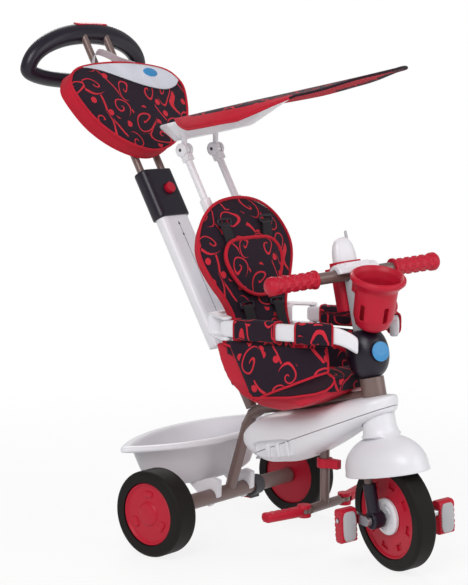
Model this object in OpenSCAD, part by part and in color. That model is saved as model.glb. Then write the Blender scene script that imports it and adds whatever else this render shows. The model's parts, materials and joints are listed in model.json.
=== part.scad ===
// Toddler push-along trike with a padded seat, a sun canopy and a telescopic push handle.
// Millimetres, +X forward, +Y to the rider's left, +Z up, with the wheels standing on Z = 0.

/* [Wheels] */
// Outer radius of the rear tyres
rear_r = 82; // [76:1:88]
// Width of a rear tyre
rear_w = 51; // [46:1:56]
// Radius of the moulded disc inside a rear tyre
rear_disc_r = 60; // [52:1:66]
// Width over both rear tyres
track_w = 475; // [465:1:495]
// Outer radius of the front tyre
front_r = 102; // [97:1:106]
// Width of the front tyre
front_w = 41; // [36:1:44]
// Radius of the moulded disc inside the front tyre
front_disc_r = 80; // [70:1:84]
// Radius of the pale hub caps on the front wheel
hub_cap_r = 34; // [26:1:40]
// Rounding of the tyre shoulders
tyre_round = 8; // [4:1:10]
// Distance from the rear axle to the front wheel's centre
wheelbase = 398; // [390:1:410]

/* [Steering] */
// Lean of the steering axis from the vertical, in degrees
rake = 12.5; // [10:0.5:14]
// Angle that the front end is turned to the rider's right, in degrees
steer_angle = 19; // [0:1:22]
// Radius of the steerer tube
steerer_r = 12.5; // [10:0.5:14]
// Outer radius of the head tube
head_tube_r = 22.5; // [21:0.5:26]
// Bottom of the head tube above the front wheel's centre, along the steering axis
head_low = 196; // [190:1:202]
// Length of the head tube along the steering axis
head_len = 58; // [50:1:64]
// Radius of the round cover over the steering head
bulb_r = 40; // [36:1:42]
// Height of the round cover over the steering head
bulb_h = 88; // [80:1:94]
// Rise of the handlebar over the round cover, along the steering axis
bar_rise = 103; // [96:1:110]
// Radius of the handlebar tube
bar_r = 11; // [9:0.5:12]
// Length of the handlebar over its grips
bar_len = 382; // [370:1:400]
// Length of a handlebar grip
grip_len = 106; // [90:1:116]
// Distance of a fork leg from the wheel's middle plane
fork_y = 44; // [42:1:45]
// Radius of a fork leg
fork_leg_r = 8; // [7:0.5:8.5]
// Length of the mudguard along the wheel
fender_len = 204; // [190:1:214]
// Width of the mudguard
fender_w = 122; // [116:1:130]
// Height of the mudguard's dome
fender_h = 62; // [56:1:66]
// Radius of the mudguard's neck
fender_neck_r = 31; // [28:1:34]

/* [Pedals] */
// Radius of the pedal crankshaft
crank_r = 6; // [5:0.5:7]
// Length of a pedal crank
crank_len = 37; // [32:1:42]
// Length of a pedal across the foot
pedal_len = 34; // [28:1:38]
// Width of a pedal along the foot
pedal_w = 64; // [54:1:70]
// Thickness of a pedal
pedal_t = 24; // [20:1:28]

/* [Frame] */
// Radius of the rear axle tube
axle_tube_r = 15; // [13:0.5:17]
// Radius of the rear axle rod
axle_rod_r = 5; // [4:0.5:6]
// Radius of the spine tube
spine_r = 11; // [10:0.5:12]
// Half width of the body fairing at the rear
body_half_w = 60; // [56:1:64]
// Radius of the fairing's nose around the head tube
nose_r = 44; // [40:1:48]
// Wall of the plastic fairing
body_wall = 3; // [2.5:0.5:4]
// Distance of the footrest post from the rear axle
footrest_x = 237; // [228:1:246]
// Height of the footrest crossbar
footrest_z = 95; // [90:1:104]
// Radius of the footrest tubes
footrest_r = 9; // [7:0.5:10]
// Distance of a foot peg's hinge from the middle
peg_y = 62; // [56:1:68]
// Length of a foot peg from its hinge
peg_len = 90; // [80:1:110]
// Angle that the foot pegs are swept back, in degrees
peg_sweep = 14; // [0:1:20]

/* [Bucket] */
// Reach of the bucket rim behind the rear axle
bucket_back = 155; // [145:1:165]
// Reach of the bucket rim in front of the rear axle
bucket_front = 12; // [6:1:14]
// Half length of the bucket rim from tip to tip
bucket_tip = 230; // [220:1:238]
// Height of the bucket rim above the floor
bucket_z = 197; // [190:1:206]
// Depth of the bucket below its rim
bucket_deep = 92; // [84:1:94]

/* [Seat] */
// Half width of the moulded seat
seat_half_w = 125; // [118:1:128]
// Height of the seat's underside
seat_z = 286; // [284:1:290]
// Lean of the backrest from the vertical, in degrees
back_tilt = 16.2; // [14:0.2:18]
// Thickness of the backrest pad at its edge
back_pad_t = 22; // [18:1:24]
// Thickness of the backrest's plastic shell
back_shell_t = 12; // [9:0.5:14]
// Half width of the backrest at the child's shoulders
back_half_w = 136; // [128:1:142]
// Height of the safety arms' middle line
arm_z = 433; // [428:1:438]
// Height of a safety arm's section
arm_h = 31; // [26:1:34]
// Thickness of a safety arm's section
arm_t = 18; // [14:1:20]

/* [Push handle] */
// Lean of the push handle from the vertical, in degrees
stem_tilt = 30.4; // [29:0.2:32]
// Width of the handle's lower casing
casing_w = 80; // [79:1:88]
// Depth of the handle's lower casing
casing_d = 28; // [27:1:34]
// Length of the handle's lower casing
casing_len = 280; // [270:1:290]
// Length of the height-lock collar
collar_len = 104; // [90:1:108]
// Radius of the two telescopic tubes
tube_r = 7.5; // [6:0.5:8]
// Distance of a telescopic tube from the middle
tube_y = 31; // [28:0.5:31]
// Half width of the ring handle along its bar's middle line
ring_half_w = 158; // [145:1:165]
// Rise of the ring handle's upper bar over its centre
ring_up = 74; // [68:1:80]
// Drop of the ring handle's lower bar under its centre
ring_down = 25; // [22:1:28]
// Radius of the ring handle's bar at the top
ring_top_r = 22; // [19:0.5:24]
// Radius of the ring handle's bar at the bottom
ring_low_r = 16; // [13:0.5:18]
// Height of the ring handle's centre above the floor
ring_z = 912; // [905:1:918]
// Half width of the storage bag
bag_half_w = 158; // [145:1:165]
// Depth of the storage bag
bag_t = 34; // [28:1:38]

/* [Canopy] */
// Length of the canopy cloth
canopy_len = 500; // [480:5:520]
// Width of the canopy cloth
canopy_w = 320; // [300:5:330]
// Pitch of the canopy, front end up, in degrees
canopy_pitch = 10.5; // [9:0.5:12]
// Sideways lean of the canopy, left side up, in degrees
canopy_roll = 5; // [0:0.5:8]
// Radius of a canopy pole
pole_r = 7; // [5.5:0.5:7.5]
// Distance of a canopy pole from the middle
pole_y = 46; // [44:1:52]

/* [Hidden] */
$fn = 64;
// Running fit of a shaft in its bore, and play between pieces of one body
fit = 0.05;
play = 0.1;
// Play between pieces that move past each other
clear = 0.4;
// Reach of a cut that passes right through
far = 600;

// The front wheel's centre, low enough for the leaned tyre to touch the floor
axis_z = sin(steer_angle) * sin(rake);
axis_x = sin(steer_angle) * cos(rake);
function tyre_reach(r, w, a) =
    (r - tyre_round) * sqrt(1 - a * a) + (w / 2 - tyre_round) * abs(a) + tyre_round;
front_z = tyre_reach(front_r, front_w, axis_z);

// The push handle's line: the point where its casing starts
stem_x = -10;
stem_z = 374;
// The ring handle's centre lies behind the stem's line
ring_lean = 10.6;
ring_top_z = ring_z + ring_up * cos(ring_lean);
ring_set_back = 11;
ring_x = stem_line_x(ring_top_z) - ring_up * sin(ring_lean) - ring_set_back;
function stem_line_x(z) = stem_x - tan(stem_tilt) * (z - stem_z);

// The origin stands midway between the ends of the trike
front_reach = wheelbase + tyre_reach(front_r, front_w, axis_x);
mid_x = (front_reach + min([for (p = ring_bar()) p.x])) / 2;

// The round cover's foot, and the handlebar, above the front wheel's centre
bulb_low = head_low + head_len + 1.2;
bar_up = bulb_low + bulb_h + bar_rise;

// The spine tube's bends, from the axle to the head tube
head_mid = head_low + head_len / 2;
head_x = wheelbase - head_mid * sin(rake);
head_z = front_z + head_mid * cos(rake);
SPINE = [[0, 0, rear_r], [46, 0, 222], [60, 0, 246], [86, 0, 261], [head_x, 0, head_z - 4]];

// The backrest's origin, on the front of its pad
back_x = 80;
back_z = 442;
// The canopy's knuckles, and the lower ends of its poles
knuckle = [-75, 755];
knuckle_r = 14;
pole_foot = [-8, 636];
pole_tilt = atan2(knuckle.x - pole_foot.x, knuckle.y - pole_foot.y);
// The hinge pins of the safety arms
arm_pin = [104, 130];
arm_pin_r = 4;

// Colours as they look in the photograph
WHITE = "gainsboro";
RED = "crimson";
STEEL = "rosybrown";
DARK = "#2b2438";
CLOTH = "#2a2340";
RUBBER = "#2b2724";

// Frames of reference

module trike() {
    translate([-mid_x, 0, 0])
    children();
}

module steered() {
    trike()
    translate([wheelbase, 0, front_z])
    rotate([0, -rake, 0])
    rotate([0, 0, -steer_angle])
    children();
}

// The front end before it is turned, for what the frame holds around the steering axis
module headed() {
    trike()
    translate([wheelbase, 0, front_z])
    rotate([0, -rake, 0])
    children();
}

module stem() {
    trike()
    translate([stem_x, 0, stem_z])
    rotate([0, -stem_tilt, 0])
    children();
}

// X forward from the pad's front face, Z up along the backrest
module backrest() {
    trike()
    translate([back_x, 0, back_z])
    rotate([0, -back_tilt, 0])
    children();
}

module canopy() {
    trike()
    translate([knuckle.x, 0, knuckle.y])
    rotate([0, -canopy_pitch, 0])
    rotate([canopy_roll, 0, 0])
    children();
}

// Shapes that repeat

module along_y(y0, y1, r) {
    translate([0, y0, 0])
    rotate([-90, 0, 0])
    cylinder(r = r, h = y1 - y0);
}

module rod(a, b, r) {
    d = b - a;
    translate(a)
    rotate([0, acos(d.z / norm(d)), atan2(d.y, d.x)])
    cylinder(r = r, h = norm(d));
}

// A bent tube swells slightly at its bends
bend_swell = 0.3;
module bent_tube(path, r) {
    for (i = [0 : len(path) - 2]) {
        rod(path[i], path[i + 1], r);
        if (i > 0) translate(path[i]) sphere(r = r + bend_swell);
    }
}

module both_sides() {
    for (s = [0, 1]) mirror([0, s, 0]) children();
}

module rounded(x, y, r) {
    for (a = [-1, 1], b = [-1, 1]) translate([a * (x / 2 - r), b * (y / 2 - r)]) circle(r = r);
    square([x - 2 * r, y], center = true);
    square([x, y - 2 * r], center = true);
}

// A closed curve through a few points, with n steps between each two
function bend(a, b, c, d, t) =
    0.5 * (2 * b + (c - a) * t + (2 * a - 5 * b + 4 * c - d) * t * t + (3 * b - a - 3 * c + d) * t * t * t);
function curve(p, n) = [for (i = [0 : len(p) - 1], k = [0 : n - 1])
    bend(p[(i + len(p) - 1) % len(p)], p[i], p[(i + 1) % len(p)], p[(i + 2) % len(p)], k / n)];
function mirrored(p) = concat(p, [for (i = [len(p) - 1 : -1 : 0]) if (p[i].x > 0.01) [-p[i].x, p[i].y]]);

// A stuffed pad on the XY plane: a flat back, drawn-in sides and a crowned front with sewn channels
module pad(rim, centre, thick, crown, draw, channels, deep, foot = 1) {
    n = len(rim);
    rings = 6;
    function inward(p, r) = centre + (p - centre) * r;
    function puff(p, r) = crown * (1 - pow(r, 4))
        - deep * (1 - pow(r, 8)) * max([0, for (c = channels) 1 - abs(p.y - c) / 14]);
    front = [for (k = [1 : rings], p = rim)
        let (q = inward(p, k / rings)) [q.x, q.y, thick + puff(q, k / rings)]];
    waist = [for (p = rim) let (q = inward(p, 1 - draw)) [q.x, q.y, thick / 2]];
    heel = [for (p = rim) let (q = inward(p, foot)) [q.x, q.y, 0]];
    points = concat([[centre.x, centre.y, thick + puff(centre, 0)]], front, waist, heel,
        [[centre.x, centre.y, 0]]);
    last = len(points) - 1;
    fan = [for (i = [0 : n - 1]) [0, 1 + (i + 1) % n, 1 + i]];
    strips = [for (k = [0 : rings], i = [0 : n - 1], h = [0, 1])
        let (a = 1 + k * n + i, b = 1 + k * n + (i + 1) % n)
        h == 0 ? [a, b, b + n] : [a, b + n, a + n]];
    base = [for (i = [0 : n - 1]) [last, last - n + i, last - n + (i + 1) % n]];
    polyhedron(points, concat(fan, strips, base), convexity = 6);
}

// Tyre: a ring with round shoulders, standing in the XZ plane
module tyre(r, w, bead_r) {
    rotate([90, 0, 0])
    rotate_extrude($fn = 96)
    union() {
        translate([bead_r, -w / 2 + tyre_round]) square([r - bead_r, w - 2 * tyre_round]);
        translate([bead_r, -w / 2]) square([r - bead_r - tyre_round, w]);
        for (s = [-1, 1]) translate([r - tyre_round, s * (w / 2 - tyre_round)]) circle(r = tyre_round);
    }
}

// Half an oval dome over a straight skirt, standing on the XY plane
module dome(long, wide, high, skirt) {
    n = 48;
    rows = 8;
    function ring(a, z) = [for (i = [0 : n - 1])
        [long * cos(a) * cos(i * 360 / n), wide * cos(a) * sin(i * 360 / n), z]];
    rise = [for (k = [0 : rows - 1]) each ring(k * 90 / rows, high * sin(k * 90 / rows))];
    points = concat(ring(0, -skirt), rise, [[0, 0, high]]);
    top = len(points) - 1;
    sides = [for (k = [0 : rows - 1], i = [0 : n - 1])
        let (a = k * n + i, b = k * n + (i + 1) % n) [a, a + n, b + n, b]];
    cap = [for (i = [0 : n - 1]) [top - n + i, top, top - n + (i + 1) % n]];
    polyhedron(points, concat([[for (i = [0 : n - 1]) i]], sides, cap), convexity = 4);
}

// Wheel disc: a rim, a web with raised bosses and a hub, in the XZ plane, outer face towards -Y
module wheel_disc(r, w, hub_r, bore_r, bosses) {
    rim = 5;
    web = 6;
    sunk = 5;
    difference() {
        union() {
            rotate([90, 0, 0])
            rotate_extrude($fn = 96)
            union() {
                translate([r - rim, -w / 2 + 3]) square([rim, w - 6]);
                translate([0, w / 2 - sunk - web]) square([r, web]);
                translate([0, -w / 2 + 2]) square([hub_r, w - 4]);
            }
            for (i = [0 : bosses - 1])
                rotate([0, i * 360 / bosses, 0])
                translate([r * 0.7, -w / 2 + sunk, 0])
                cube([9, 4, r * 0.34], center = true);
        }
        along_y(-w, w, bore_r);
    }
}

// Frame

module axle_tube() {
    color(STEEL)
    trike()
    translate([0, 0, rear_r])
    difference() {
        along_y(-axle_half(), axle_half(), axle_tube_r);
        along_y(-far, far, axle_rod_r + fit);
    }
}

function axle_half() = track_w / 2 - rear_w - 0.5;

module axle_rod() {
    color("silver")
    trike()
    translate([0, 0, rear_r])
    along_y(-track_w / 2 + 9, track_w / 2 - 9, axle_rod_r);
}

module spine_tube() {
    color(STEEL)
    difference() {
        trike() bent_tube(SPINE, spine_r);
        trike() translate([0, 0, rear_r]) along_y(-far, far, axle_tube_r + play);
        headed() cylinder(r = head_tube_r + play, h = far);
    }
}

module head_tube() {
    color(STEEL)
    headed()
    translate([0, 0, head_low])
    difference() {
        cylinder(r = head_tube_r, h = head_len);
        translate([0, 0, -1]) cylinder(r = bush_r() + play, h = head_len + 2);
    }
}

function bush_r() = steerer_r + 4;

module head_bushes() {
    bush_h = 16;
    color("dimgray")
    headed()
    for (w = [head_low, head_low + head_len - bush_h])
        translate([0, 0, w])
        difference() {
            cylinder(r = bush_r(), h = bush_h);
            translate([0, 0, -1]) cylinder(r = steerer_r + fit, h = bush_h + 2);
        }
}

// Body fairing: a side outline and a plan outline cut from each other, split along a slanted line

seam_x = 79;
seam_z = 172;
seam_slope = 22.9;

module body_side() {
    x = head_x;
    z = head_z;
    polygon([[74, 205], [80, 228], [98, 247], [129, 261], [220, 280], [x - 25, z - 10], [x + 42, z + 5],
        [x + 50, z - 6], [x + 42, z - 29], [x - 6, z - 56], [x - 79, z - 106], [221, 187], [190, 174],
        [129, 164], [94, 176]]);
}

module body_plan() {
    polygon([[74, -38], [84, -body_half_w + 4], [104, -body_half_w], [230, -body_half_w + 4],
        [head_x, -nose_r], [head_x, nose_r], [230, body_half_w - 4], [104, body_half_w],
        [84, body_half_w - 4], [74, 38]]);
    translate([head_x, 0]) circle(r = nose_r);
}

module body_block(inset) {
    intersection() {
        rotate([90, 0, 0])
        linear_extrude(height = far, center = true)
        offset(delta = -inset) body_side();
        linear_extrude(height = far)
        offset(delta = -inset) body_plan();
    }
}

pocket = [92, 12, 42];
module pockets(grow) {
    both_sides()
    translate([163, body_half_w, 202])
    rotate([0, -8, 0])
    cube([pocket.x + 2 * grow, 2 * (pocket.y + grow), pocket.z + 2 * grow], center = true);
}

SCREWS = [[112, 46], [112, -46], [306, 30], [306, -30]];
module at_screws() {
    for (p = SCREWS) translate([p.x, p.y, 0]) children();
}

module body_hollow() {
    difference() {
        body_block(body_wall);
        pockets(body_wall);
        at_screws() cylinder(r = 6, h = far);
    }
}

module part_plane(lift) {
    translate([seam_x, 0, seam_z + lift])
    rotate([0, -seam_slope, 0])
    translate([-far / 2, -far / 2, 0])
    cube([2 * far, far, far]);
}

module body_holes() {
    bent_tube(SPINE, spine_r + clear);
    translate([footrest_x, 0, 0]) cylinder(r = footrest_r + play, h = far);
    rod([stem_line_x(230), 0, 230], [stem_line_x(stem_z), 0, stem_z], post_r + clear);
}

module body_shell_upper() {
    color(WHITE)
    difference() {
        trike()
        difference() {
            intersection() {
                body_block(0);
                part_plane(play / 2);
            }
            body_hollow();
            body_holes();
            for (p = SCREWS) translate([p.x, p.y, 0]) cylinder(r = 1.8, h = screw_head_z(p) + 29);
        }
        headed() head_room();
    }
}

// Room in the fairing for the head tube and the mudguard's turning neck
module head_room() {
    cylinder(r = head_tube_r + play, h = far);
    cylinder(r = fender_neck_r + 1, h = neck_w + 2);
}

function screw_head_z(p) = seam_z + (p.x - seam_x) * tan(seam_slope) - 10;

module body_shell_lower() {
    color(WHITE)
    difference() {
        trike()
        difference() {
            body_block(0);
            part_plane(-play / 2);
            body_hollow();
            pockets(0);
            body_holes();
            for (p = SCREWS) {
                translate([p.x, p.y, 0]) cylinder(r = 2.2, h = far);
                translate([p.x, p.y, 0]) cylinder(r = 4.2, h = screw_head_z(p));
            }
        }
        headed() head_room();
    }
}

module body_screws() {
    color("silver")
    trike()
    for (p = SCREWS)
        translate([p.x, p.y, screw_head_z(p) - 3 - play]) {
            cylinder(r = 3.8, h = 3);
            cylinder(r = 1.75, h = 30);
        }
}

// Seat

// Plan of the seat: straight sides that draw in towards the front
module seat_plan(grow) {
    w = seat_half_w;
    offset(delta = grow)
    polygon(both_edges([[60, w], [236, w - 1], [274, w - 17], [293, w - 45], [304, w - 85], [306, 0]]));
}

seat_wall = 7;
seat_floor_t = 34;

module seat_tub(inset) {
    w = seat_half_w - inset;
    intersection() {
        rotate([90, 0, 0])
        linear_extrude(height = far, center = true)
        offset(delta = -inset)
        polygon([[74, 402], [84, 372], [100, 340], [129, 305], [166, seat_z + 3], [213, seat_z],
            [262, seat_z + 13], [300, seat_z + 34], [314, seat_z + 50], [310, seat_z + 60], [96, 402]]);
        rotate([90, 0, 90])
        linear_extrude(height = far)
        polygon([[w, far], [w, seat_z + 48], [w - 12, seat_z + 20], [w - 34, seat_z - 10],
            [34 - w, seat_z - 10], [12 - w, seat_z + 20], [-w, seat_z + 48], [-w, far]]);
        linear_extrude(height = far) seat_plan(-inset);
    }
}

module seat_shell() {
    color(RED)
    difference() {
        trike()
        difference() {
            seat_tub(0);
            for (lift = [0, 50])
                intersection() {
                    translate([0, 0, lift]) seat_tub(seat_wall);
                    translate([0, -far / 2, seat_z + seat_floor_t]) cube([far, far, far]);
                }
            bent_tube(SPINE, spine_r + play);
        }
        stem() translate([0, 0, -160]) cylinder(r = post_r + play, h = 260);
        backrest() translate([-60, -82, -88]) cube([90, 164, 200]);
    }
}

// Half of the backrest's outline: sideways, and up from the backrest's origin
function back_half() = [[0, 233], [62, 224], [108, 195], [back_half_w - 3, 155], [back_half_w, 120],
    [118, 78], [92, 38], [78, 0], [78, -50], [70, -80], [0, -84]];

// Share of the backrest's outline that the back of its pad keeps, and of its width that its shell keeps
back_draw = 0.93;
shell_draw = 0.72;

module back_shell() {
    shell_back = back_pad_t + play + back_shell_t;
    color(WHITE)
    difference() {
        union() {
            backrest()
            translate([-shell_back, 0, 0])
            rotate([90, 0, 90])
            linear_extrude(height = back_shell_t)
            translate([0, 70])
            scale([shell_draw, back_draw])
            translate([0, -70])
            polygon(curve(mirrored(back_half()), 4));
            intersection() {
                trike() both_sides() pole_axis() translate([0, 0, -4]) cylinder(r = pole_r + 4, h = 34);
                backrest() translate([-far - back_pad_t - play, -far / 2, 0]) cube([far, far, far]);
            }
            trike() both_sides() arm_ear();
        }
        trike() both_sides() pole_axis() cylinder(r = pole_r + play, h = far);
        backrest() translate([-back_pad_t - play, -80, -far]) cube([far, 160, far + 60]);
        stem() translate([0, 0, -100]) cylinder(r = post_r + clear, h = 130);
        stem() casing_block(casing_len, clear);
    }
}

module pole_axis() {
    translate([pole_foot.x, pole_y, pole_foot.y])
    rotate([0, pole_tilt, 0])
    children();
}

// A clevis beside the backrest that holds a safety arm's hinge pin
module arm_ear() {
    cheek = 6;
    room = 2 * clear;
    for (z = [arm_z - arm_h / 2 - cheek - room, arm_z + arm_h / 2 + room])
        translate([0, 0, z])
        linear_extrude(height = cheek) {
            translate(arm_pin) circle(r = arm_t / 2 + 2);
            translate(arm_pin)
            polygon([[-66, -86], [-52, -86], [-52, -40], [7, -8], [-7, 9], [-66, -24]]);
        }
    translate([arm_pin.x - 46, arm_pin.y - 29, arm_z])
    rotate([0, 0, 62])
    cube([20, 34, arm_h + 2 * room + 2], center = true);
    translate([arm_pin.x, arm_pin.y, arm_z - arm_h / 2 - cheek])
    cylinder(r = arm_pin_r, h = arm_h + 2 * cheek);
}

module back_pad() {
    color(CLOTH)
    backrest()
    translate([-back_pad_t, 0, 0])
    rotate([90, 0, 90])
    pad(curve(mirrored(back_half()), 3), [0, 70], back_pad_t, 8, 0.03, [18], 4, back_draw);
}

module insert_pad() {
    half = [[0, 150], [58, 146], [82, 122], [78, 92], [58, 60], [30, 42], [0, 36]];
    color(CLOTH)
    backrest()
    translate([8 + clear, 0, 0])
    rotate([90, 0, 90])
    pad(curve(mirrored(half), 4), [0, 96], 7, 5, 0.02, [], 0);
}

module seat_cushion() {
    half = [[0, 0], [96, 4], [107, 30], [107, 88], [94, 124], [62, 147], [0, 154]];
    color(CLOTH)
    trike()
    translate([130, 0, seat_z + seat_floor_t + clear])
    rotate([0, 0, -90])
    pad(curve(mirrored(half), 3), [0, 82], 14, 11, 0.02, [54, 108], 5);
}

module seat_wrap(thick) {
    difference() {
        seat_plan(clear + thick);
        seat_plan(clear);
    }
}

module side_flaps() {
    flap_t = 6;
    color(CLOTH)
    trike()
    {
        intersection() {
            rotate([90, 0, 0])
            linear_extrude(height = far, center = true)
            polygon(curve([[114, 405], [146, 345], [160, 312], [176, 304], [250, 314], [300, 332],
                [316, 352], [314, 396], [290, 407], [200, 407]], 4));
            linear_extrude(height = far)
            difference() {
                seat_wrap(flap_t);
                square([2 * far, 150], center = true);
            }
        }
        translate([0, 0, seat_z + 40])
        linear_extrude(height = 26)
        intersection() {
            seat_wrap(flap_t);
            translate([200, -72]) square([far, 144]);
        }
    }
}

module harness_straps() {
    strap_w = 28;
    color("#2f2c30")
    backrest()
    both_sides()
    for (p = [[64, 152, 34], [44, -26, 44]])
        translate([8 + clear, p.x - strap_w / 2, p.y])
        cube([3, strap_w, p.z]);
}

// Safety arms, with the cloth sleeves that wrap them

ARM = [[104, 130, 0], [262, 129, 6], [314, 106, 7], [337, 80, -1], [349, 57, -16]];

module arm_run(path, t, h) {
    for (i = [0 : len(path) - 2])
        hull() {
            for (p = [path[i], path[i + 1]])
                translate([p.x, p.y, arm_z + p.z - h / 2]) cylinder(d = t, h = h, $fn = 32);
        }
}

module arm_body(path) {
    difference() {
        arm_run(path, arm_t, arm_h);
        translate([arm_pin.x, arm_pin.y, 0]) cylinder(r = arm_pin_r + fit, h = far);
    }
}

// Cloth wrapped round part of an arm
module sleeve(path) {
    wrap = 4;
    difference() {
        arm_run(path, arm_t + 2 * wrap, arm_h + 2 * wrap);
        arm_run(ARM, arm_t + 2 * play, arm_h + 2 * play);
    }
}

function on_arm(k) = ARM[0] + (ARM[1] - ARM[0]) * k;

module sleeve_pair() {
    sleeve([on_arm(0.18), on_arm(0.76)]);
    sleeve([on_arm(0.98), ARM[1] + (ARM[2] - ARM[1]) * 0.8]);
}

module arm_right() {
    color(WHITE) trike() mirror([0, 1, 0]) arm_body(ARM);
}

// The left arm stops short of the point where the right one ends
module arm_left() {
    color(WHITE) trike() arm_body([for (i = [0 : len(ARM) - 2]) ARM[i]]);
}

module sleeves_right() {
    color(CLOTH) trike() mirror([0, 1, 0]) sleeve_pair();
}

module sleeves_left() {
    color(CLOTH) trike() sleeve_pair();
}

// Canopy

module canopy_poles() {
    color(WHITE)
    trike()
    both_sides() {
        difference() {
            pole_axis() cylinder(r = pole_r, h = pole_len() - knuckle_r - clear);
            translate([knuckle.x, 0, knuckle.y]) along_y(-far, far, knuckle_r + clear);
        }
        translate([knuckle.x, 0, knuckle.y]) pole_fork();
    }
}

function pole_len() = norm(knuckle - pole_foot);

// Two cheeks and a pin at the head of a pole
module pole_fork() {
    for (y = [pole_y - 9, pole_y + 5]) along_y(y, y + 4, knuckle_r - 1);
    along_y(pole_y - 7, pole_y + 7, 4);
    translate([0, pole_y, 0])
    rotate([0, pole_tilt, 0])
    translate([0, 0, -(knuckle_r + 3)])
    difference() {
        cube([2 * pole_r + 3, 17, 14], center = true);
        translate([0, -5, knuckle_r + 3]) along_y(0, 10, knuckle_r - 2 + clear);
    }
}

// Rise of the canopy's base over its knuckles
boat_z = 57;

module canopy_base() {
    keel = [[-118, 8], [-115, 20], [-108, 32], [-94, 46], [-60, 62], [60, 62], [150, 44], [184, 20],
        [190, 0]];
    boat_x = 43;
    belly = 32;
    color(WHITE) {
        canopy()
        translate([boat_x, 0, boat_z])
        hull() {
            linear_extrude(height = 4) polygon(both_edges(keel));
            translate([-22, 0, -belly])
            linear_extrude(height = 4)
            scale([0.6, 0.6])
            polygon(both_edges(keel));
        }
        trike()
        translate([knuckle.x, 0, knuckle.y])
        both_sides()
        difference() {
            union() {
                along_y(pole_y - 4.6, pole_y + 4.6, knuckle_r - 2);
                translate([-5, pole_y - 4.6, 0]) cube([10, 9.2, boat_z - 3]);
            }
            along_y(0, far, 4 + fit);
        }
    }
}

function both_edges(p) =
    concat(p, [for (i = [len(p) - 1 : -1 : 0]) if (abs(p[i].y) > 0.01) [p[i].x, -p[i].y]]);

module canopy_cloth() {
    color(RED)
    canopy()
    translate([240, 0, boat_z - 2.7])
    cloth_sheet();
}

// An oval sheet with a low crown, and a skirt along its rear half
module cloth_sheet() {
    n = 40;
    rings = 6;
    thick = 4;
    skirt = 22;
    function at_polar(r, a) = [canopy_len / 2 * r * cos(a), canopy_w / 2 * r * sin(a)];
    function rise(r, a) = 10 - 10 * pow(r * sin(a), 2);
    function limit(x) = min(1, max(0, x));
    function hang(r, a) = r < 0.99 ? 0
        : skirt * limit((abs(sin(a)) - 0.5) / 0.3) * limit((0.5 - cos(a)) / 0.5);
    top = [for (k = [1 : rings], i = [0 : n - 1])
        let (r = k / rings, a = i * 360 / n, p = at_polar(r, a)) [p.x, p.y, thick + rise(r, a)]];
    under = [for (k = [rings : -1 : 1], i = [0 : n - 1])
        let (r = k / rings, a = i * 360 / n, p = at_polar(r, a)) [p.x, p.y, rise(r, a) - hang(r, a)]];
    points = concat([[0, 0, thick + rise(0, 0)]], top, under, [[0, 0, rise(0, 0)]]);
    last = len(points) - 1;
    fan = [for (i = [0 : n - 1]) [0, 1 + (i + 1) % n, 1 + i]];
    strips = [for (k = [0 : 2 * rings - 2], i = [0 : n - 1], h = [0, 1])
        let (a = 1 + k * n + i, b = 1 + k * n + (i + 1) % n)
        h == 0 ? [a, b, b + n] : [a, b + n, a + n]];
    base = [for (i = [0 : n - 1]) [last, last - n + i, last - n + (i + 1) % n]];
    polyhedron(points, concat(fan, strips, base), convexity = 6);
}

// Push handle

post_r = 11;
post_drop = 133;

module handle_post() {
    color(STEEL)
    difference() {
        stem() translate([0, 0, -post_drop]) cylinder(r = post_r, h = post_drop + 100);
        trike() bent_tube(SPINE, spine_r + play);
    }
}

module casing_block(h, grow) {
    linear_extrude(height = h)
    rounded(casing_d + 2 * grow, casing_w + 2 * grow, casing_d / 2 + grow - 1);
}

module tube_bores(low, high, r) {
    for (s = [-1, 1]) translate([0, s * tube_y, low]) cylinder(r = r, h = high - low);
}

tube_foot = 62;

module handle_casing() {
    color(WHITE)
    stem()
    difference() {
        casing_block(casing_len, 0);
        tube_bores(20, far, tube_r + fit);
        translate([0, 0, -1]) cylinder(r = post_r + play, h = 102);
        translate([casing_d / 2, 0, casing_len / 2]) cube([4, 2, casing_len - 24], center = true);
        for (h = [30, casing_len - 42, casing_len - 18])
            translate([casing_d / 2 - 5, 0, h]) rotate([0, 90, 0]) cylinder(r = 3, h = 10);
    }
}

// The height lock's button on the collar
button_up = 58;
button_y = 8;
button_r = 11;

module handle_collar() {
    color(DARK)
    stem()
    translate([0, 0, casing_len + play])
    difference() {
        linear_extrude(height = collar_len) rounded(casing_d + 8, casing_w + 8, casing_d / 2);
        tube_bores(-1, far, tube_r + fit);
        translate([casing_d / 2 - 6, button_y, button_up])
        rotate([0, 90, 0])
        cylinder(r = button_r + clear, h = 20);
    }
}

module collar_button() {
    color(RED)
    stem()
    translate([casing_d / 2 - 2, button_y, casing_len + play + button_up])
    rotate([0, 90, 0])
    cylinder(r = button_r, h = 14);
}

module handle_tubes() {
    color(STEEL)
    stem()
    tube_bores(tube_foot, tube_end(), tube_r);
}

function tube_end() = (ring_top_z - stem_z) / cos(stem_tilt);

// Rings of points round the ring handle's bar
function ring_bar() = [for (i = [0 : 47], k = [0 : 11])
    let (a = i * 7.5, c = cos(a), s = sin(a), b = s > 0 ? ring_up : ring_down,
        r = ring_low_r + (ring_top_r - ring_low_r) * pow(max(0, s), 2),
        out = [ring_half_w * c, b * s],
        n = [b * c, ring_half_w * s] / norm([b * c, ring_half_w * s]),
        q = out + n * r * cos(k * 30), d = r * sin(k * 30))
    [ring_x + d * cos(ring_lean) + q.y * sin(ring_lean), q.x,
        ring_z + q.y * cos(ring_lean) - d * sin(ring_lean)]];

module ring_solid() {
    faces = [for (i = [0 : 47], k = [0 : 11], h = [0, 1])
        let (a = i * 12 + k, b = i * 12 + (k + 1) % 12, c = ((i + 1) % 48) * 12 + k,
            d = ((i + 1) % 48) * 12 + (k + 1) % 12)
        h == 0 ? [a, d, b] : [a, c, d]];
    polyhedron(ring_bar(), faces, convexity = 8);
}

press = [18, 88, 9];

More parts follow.
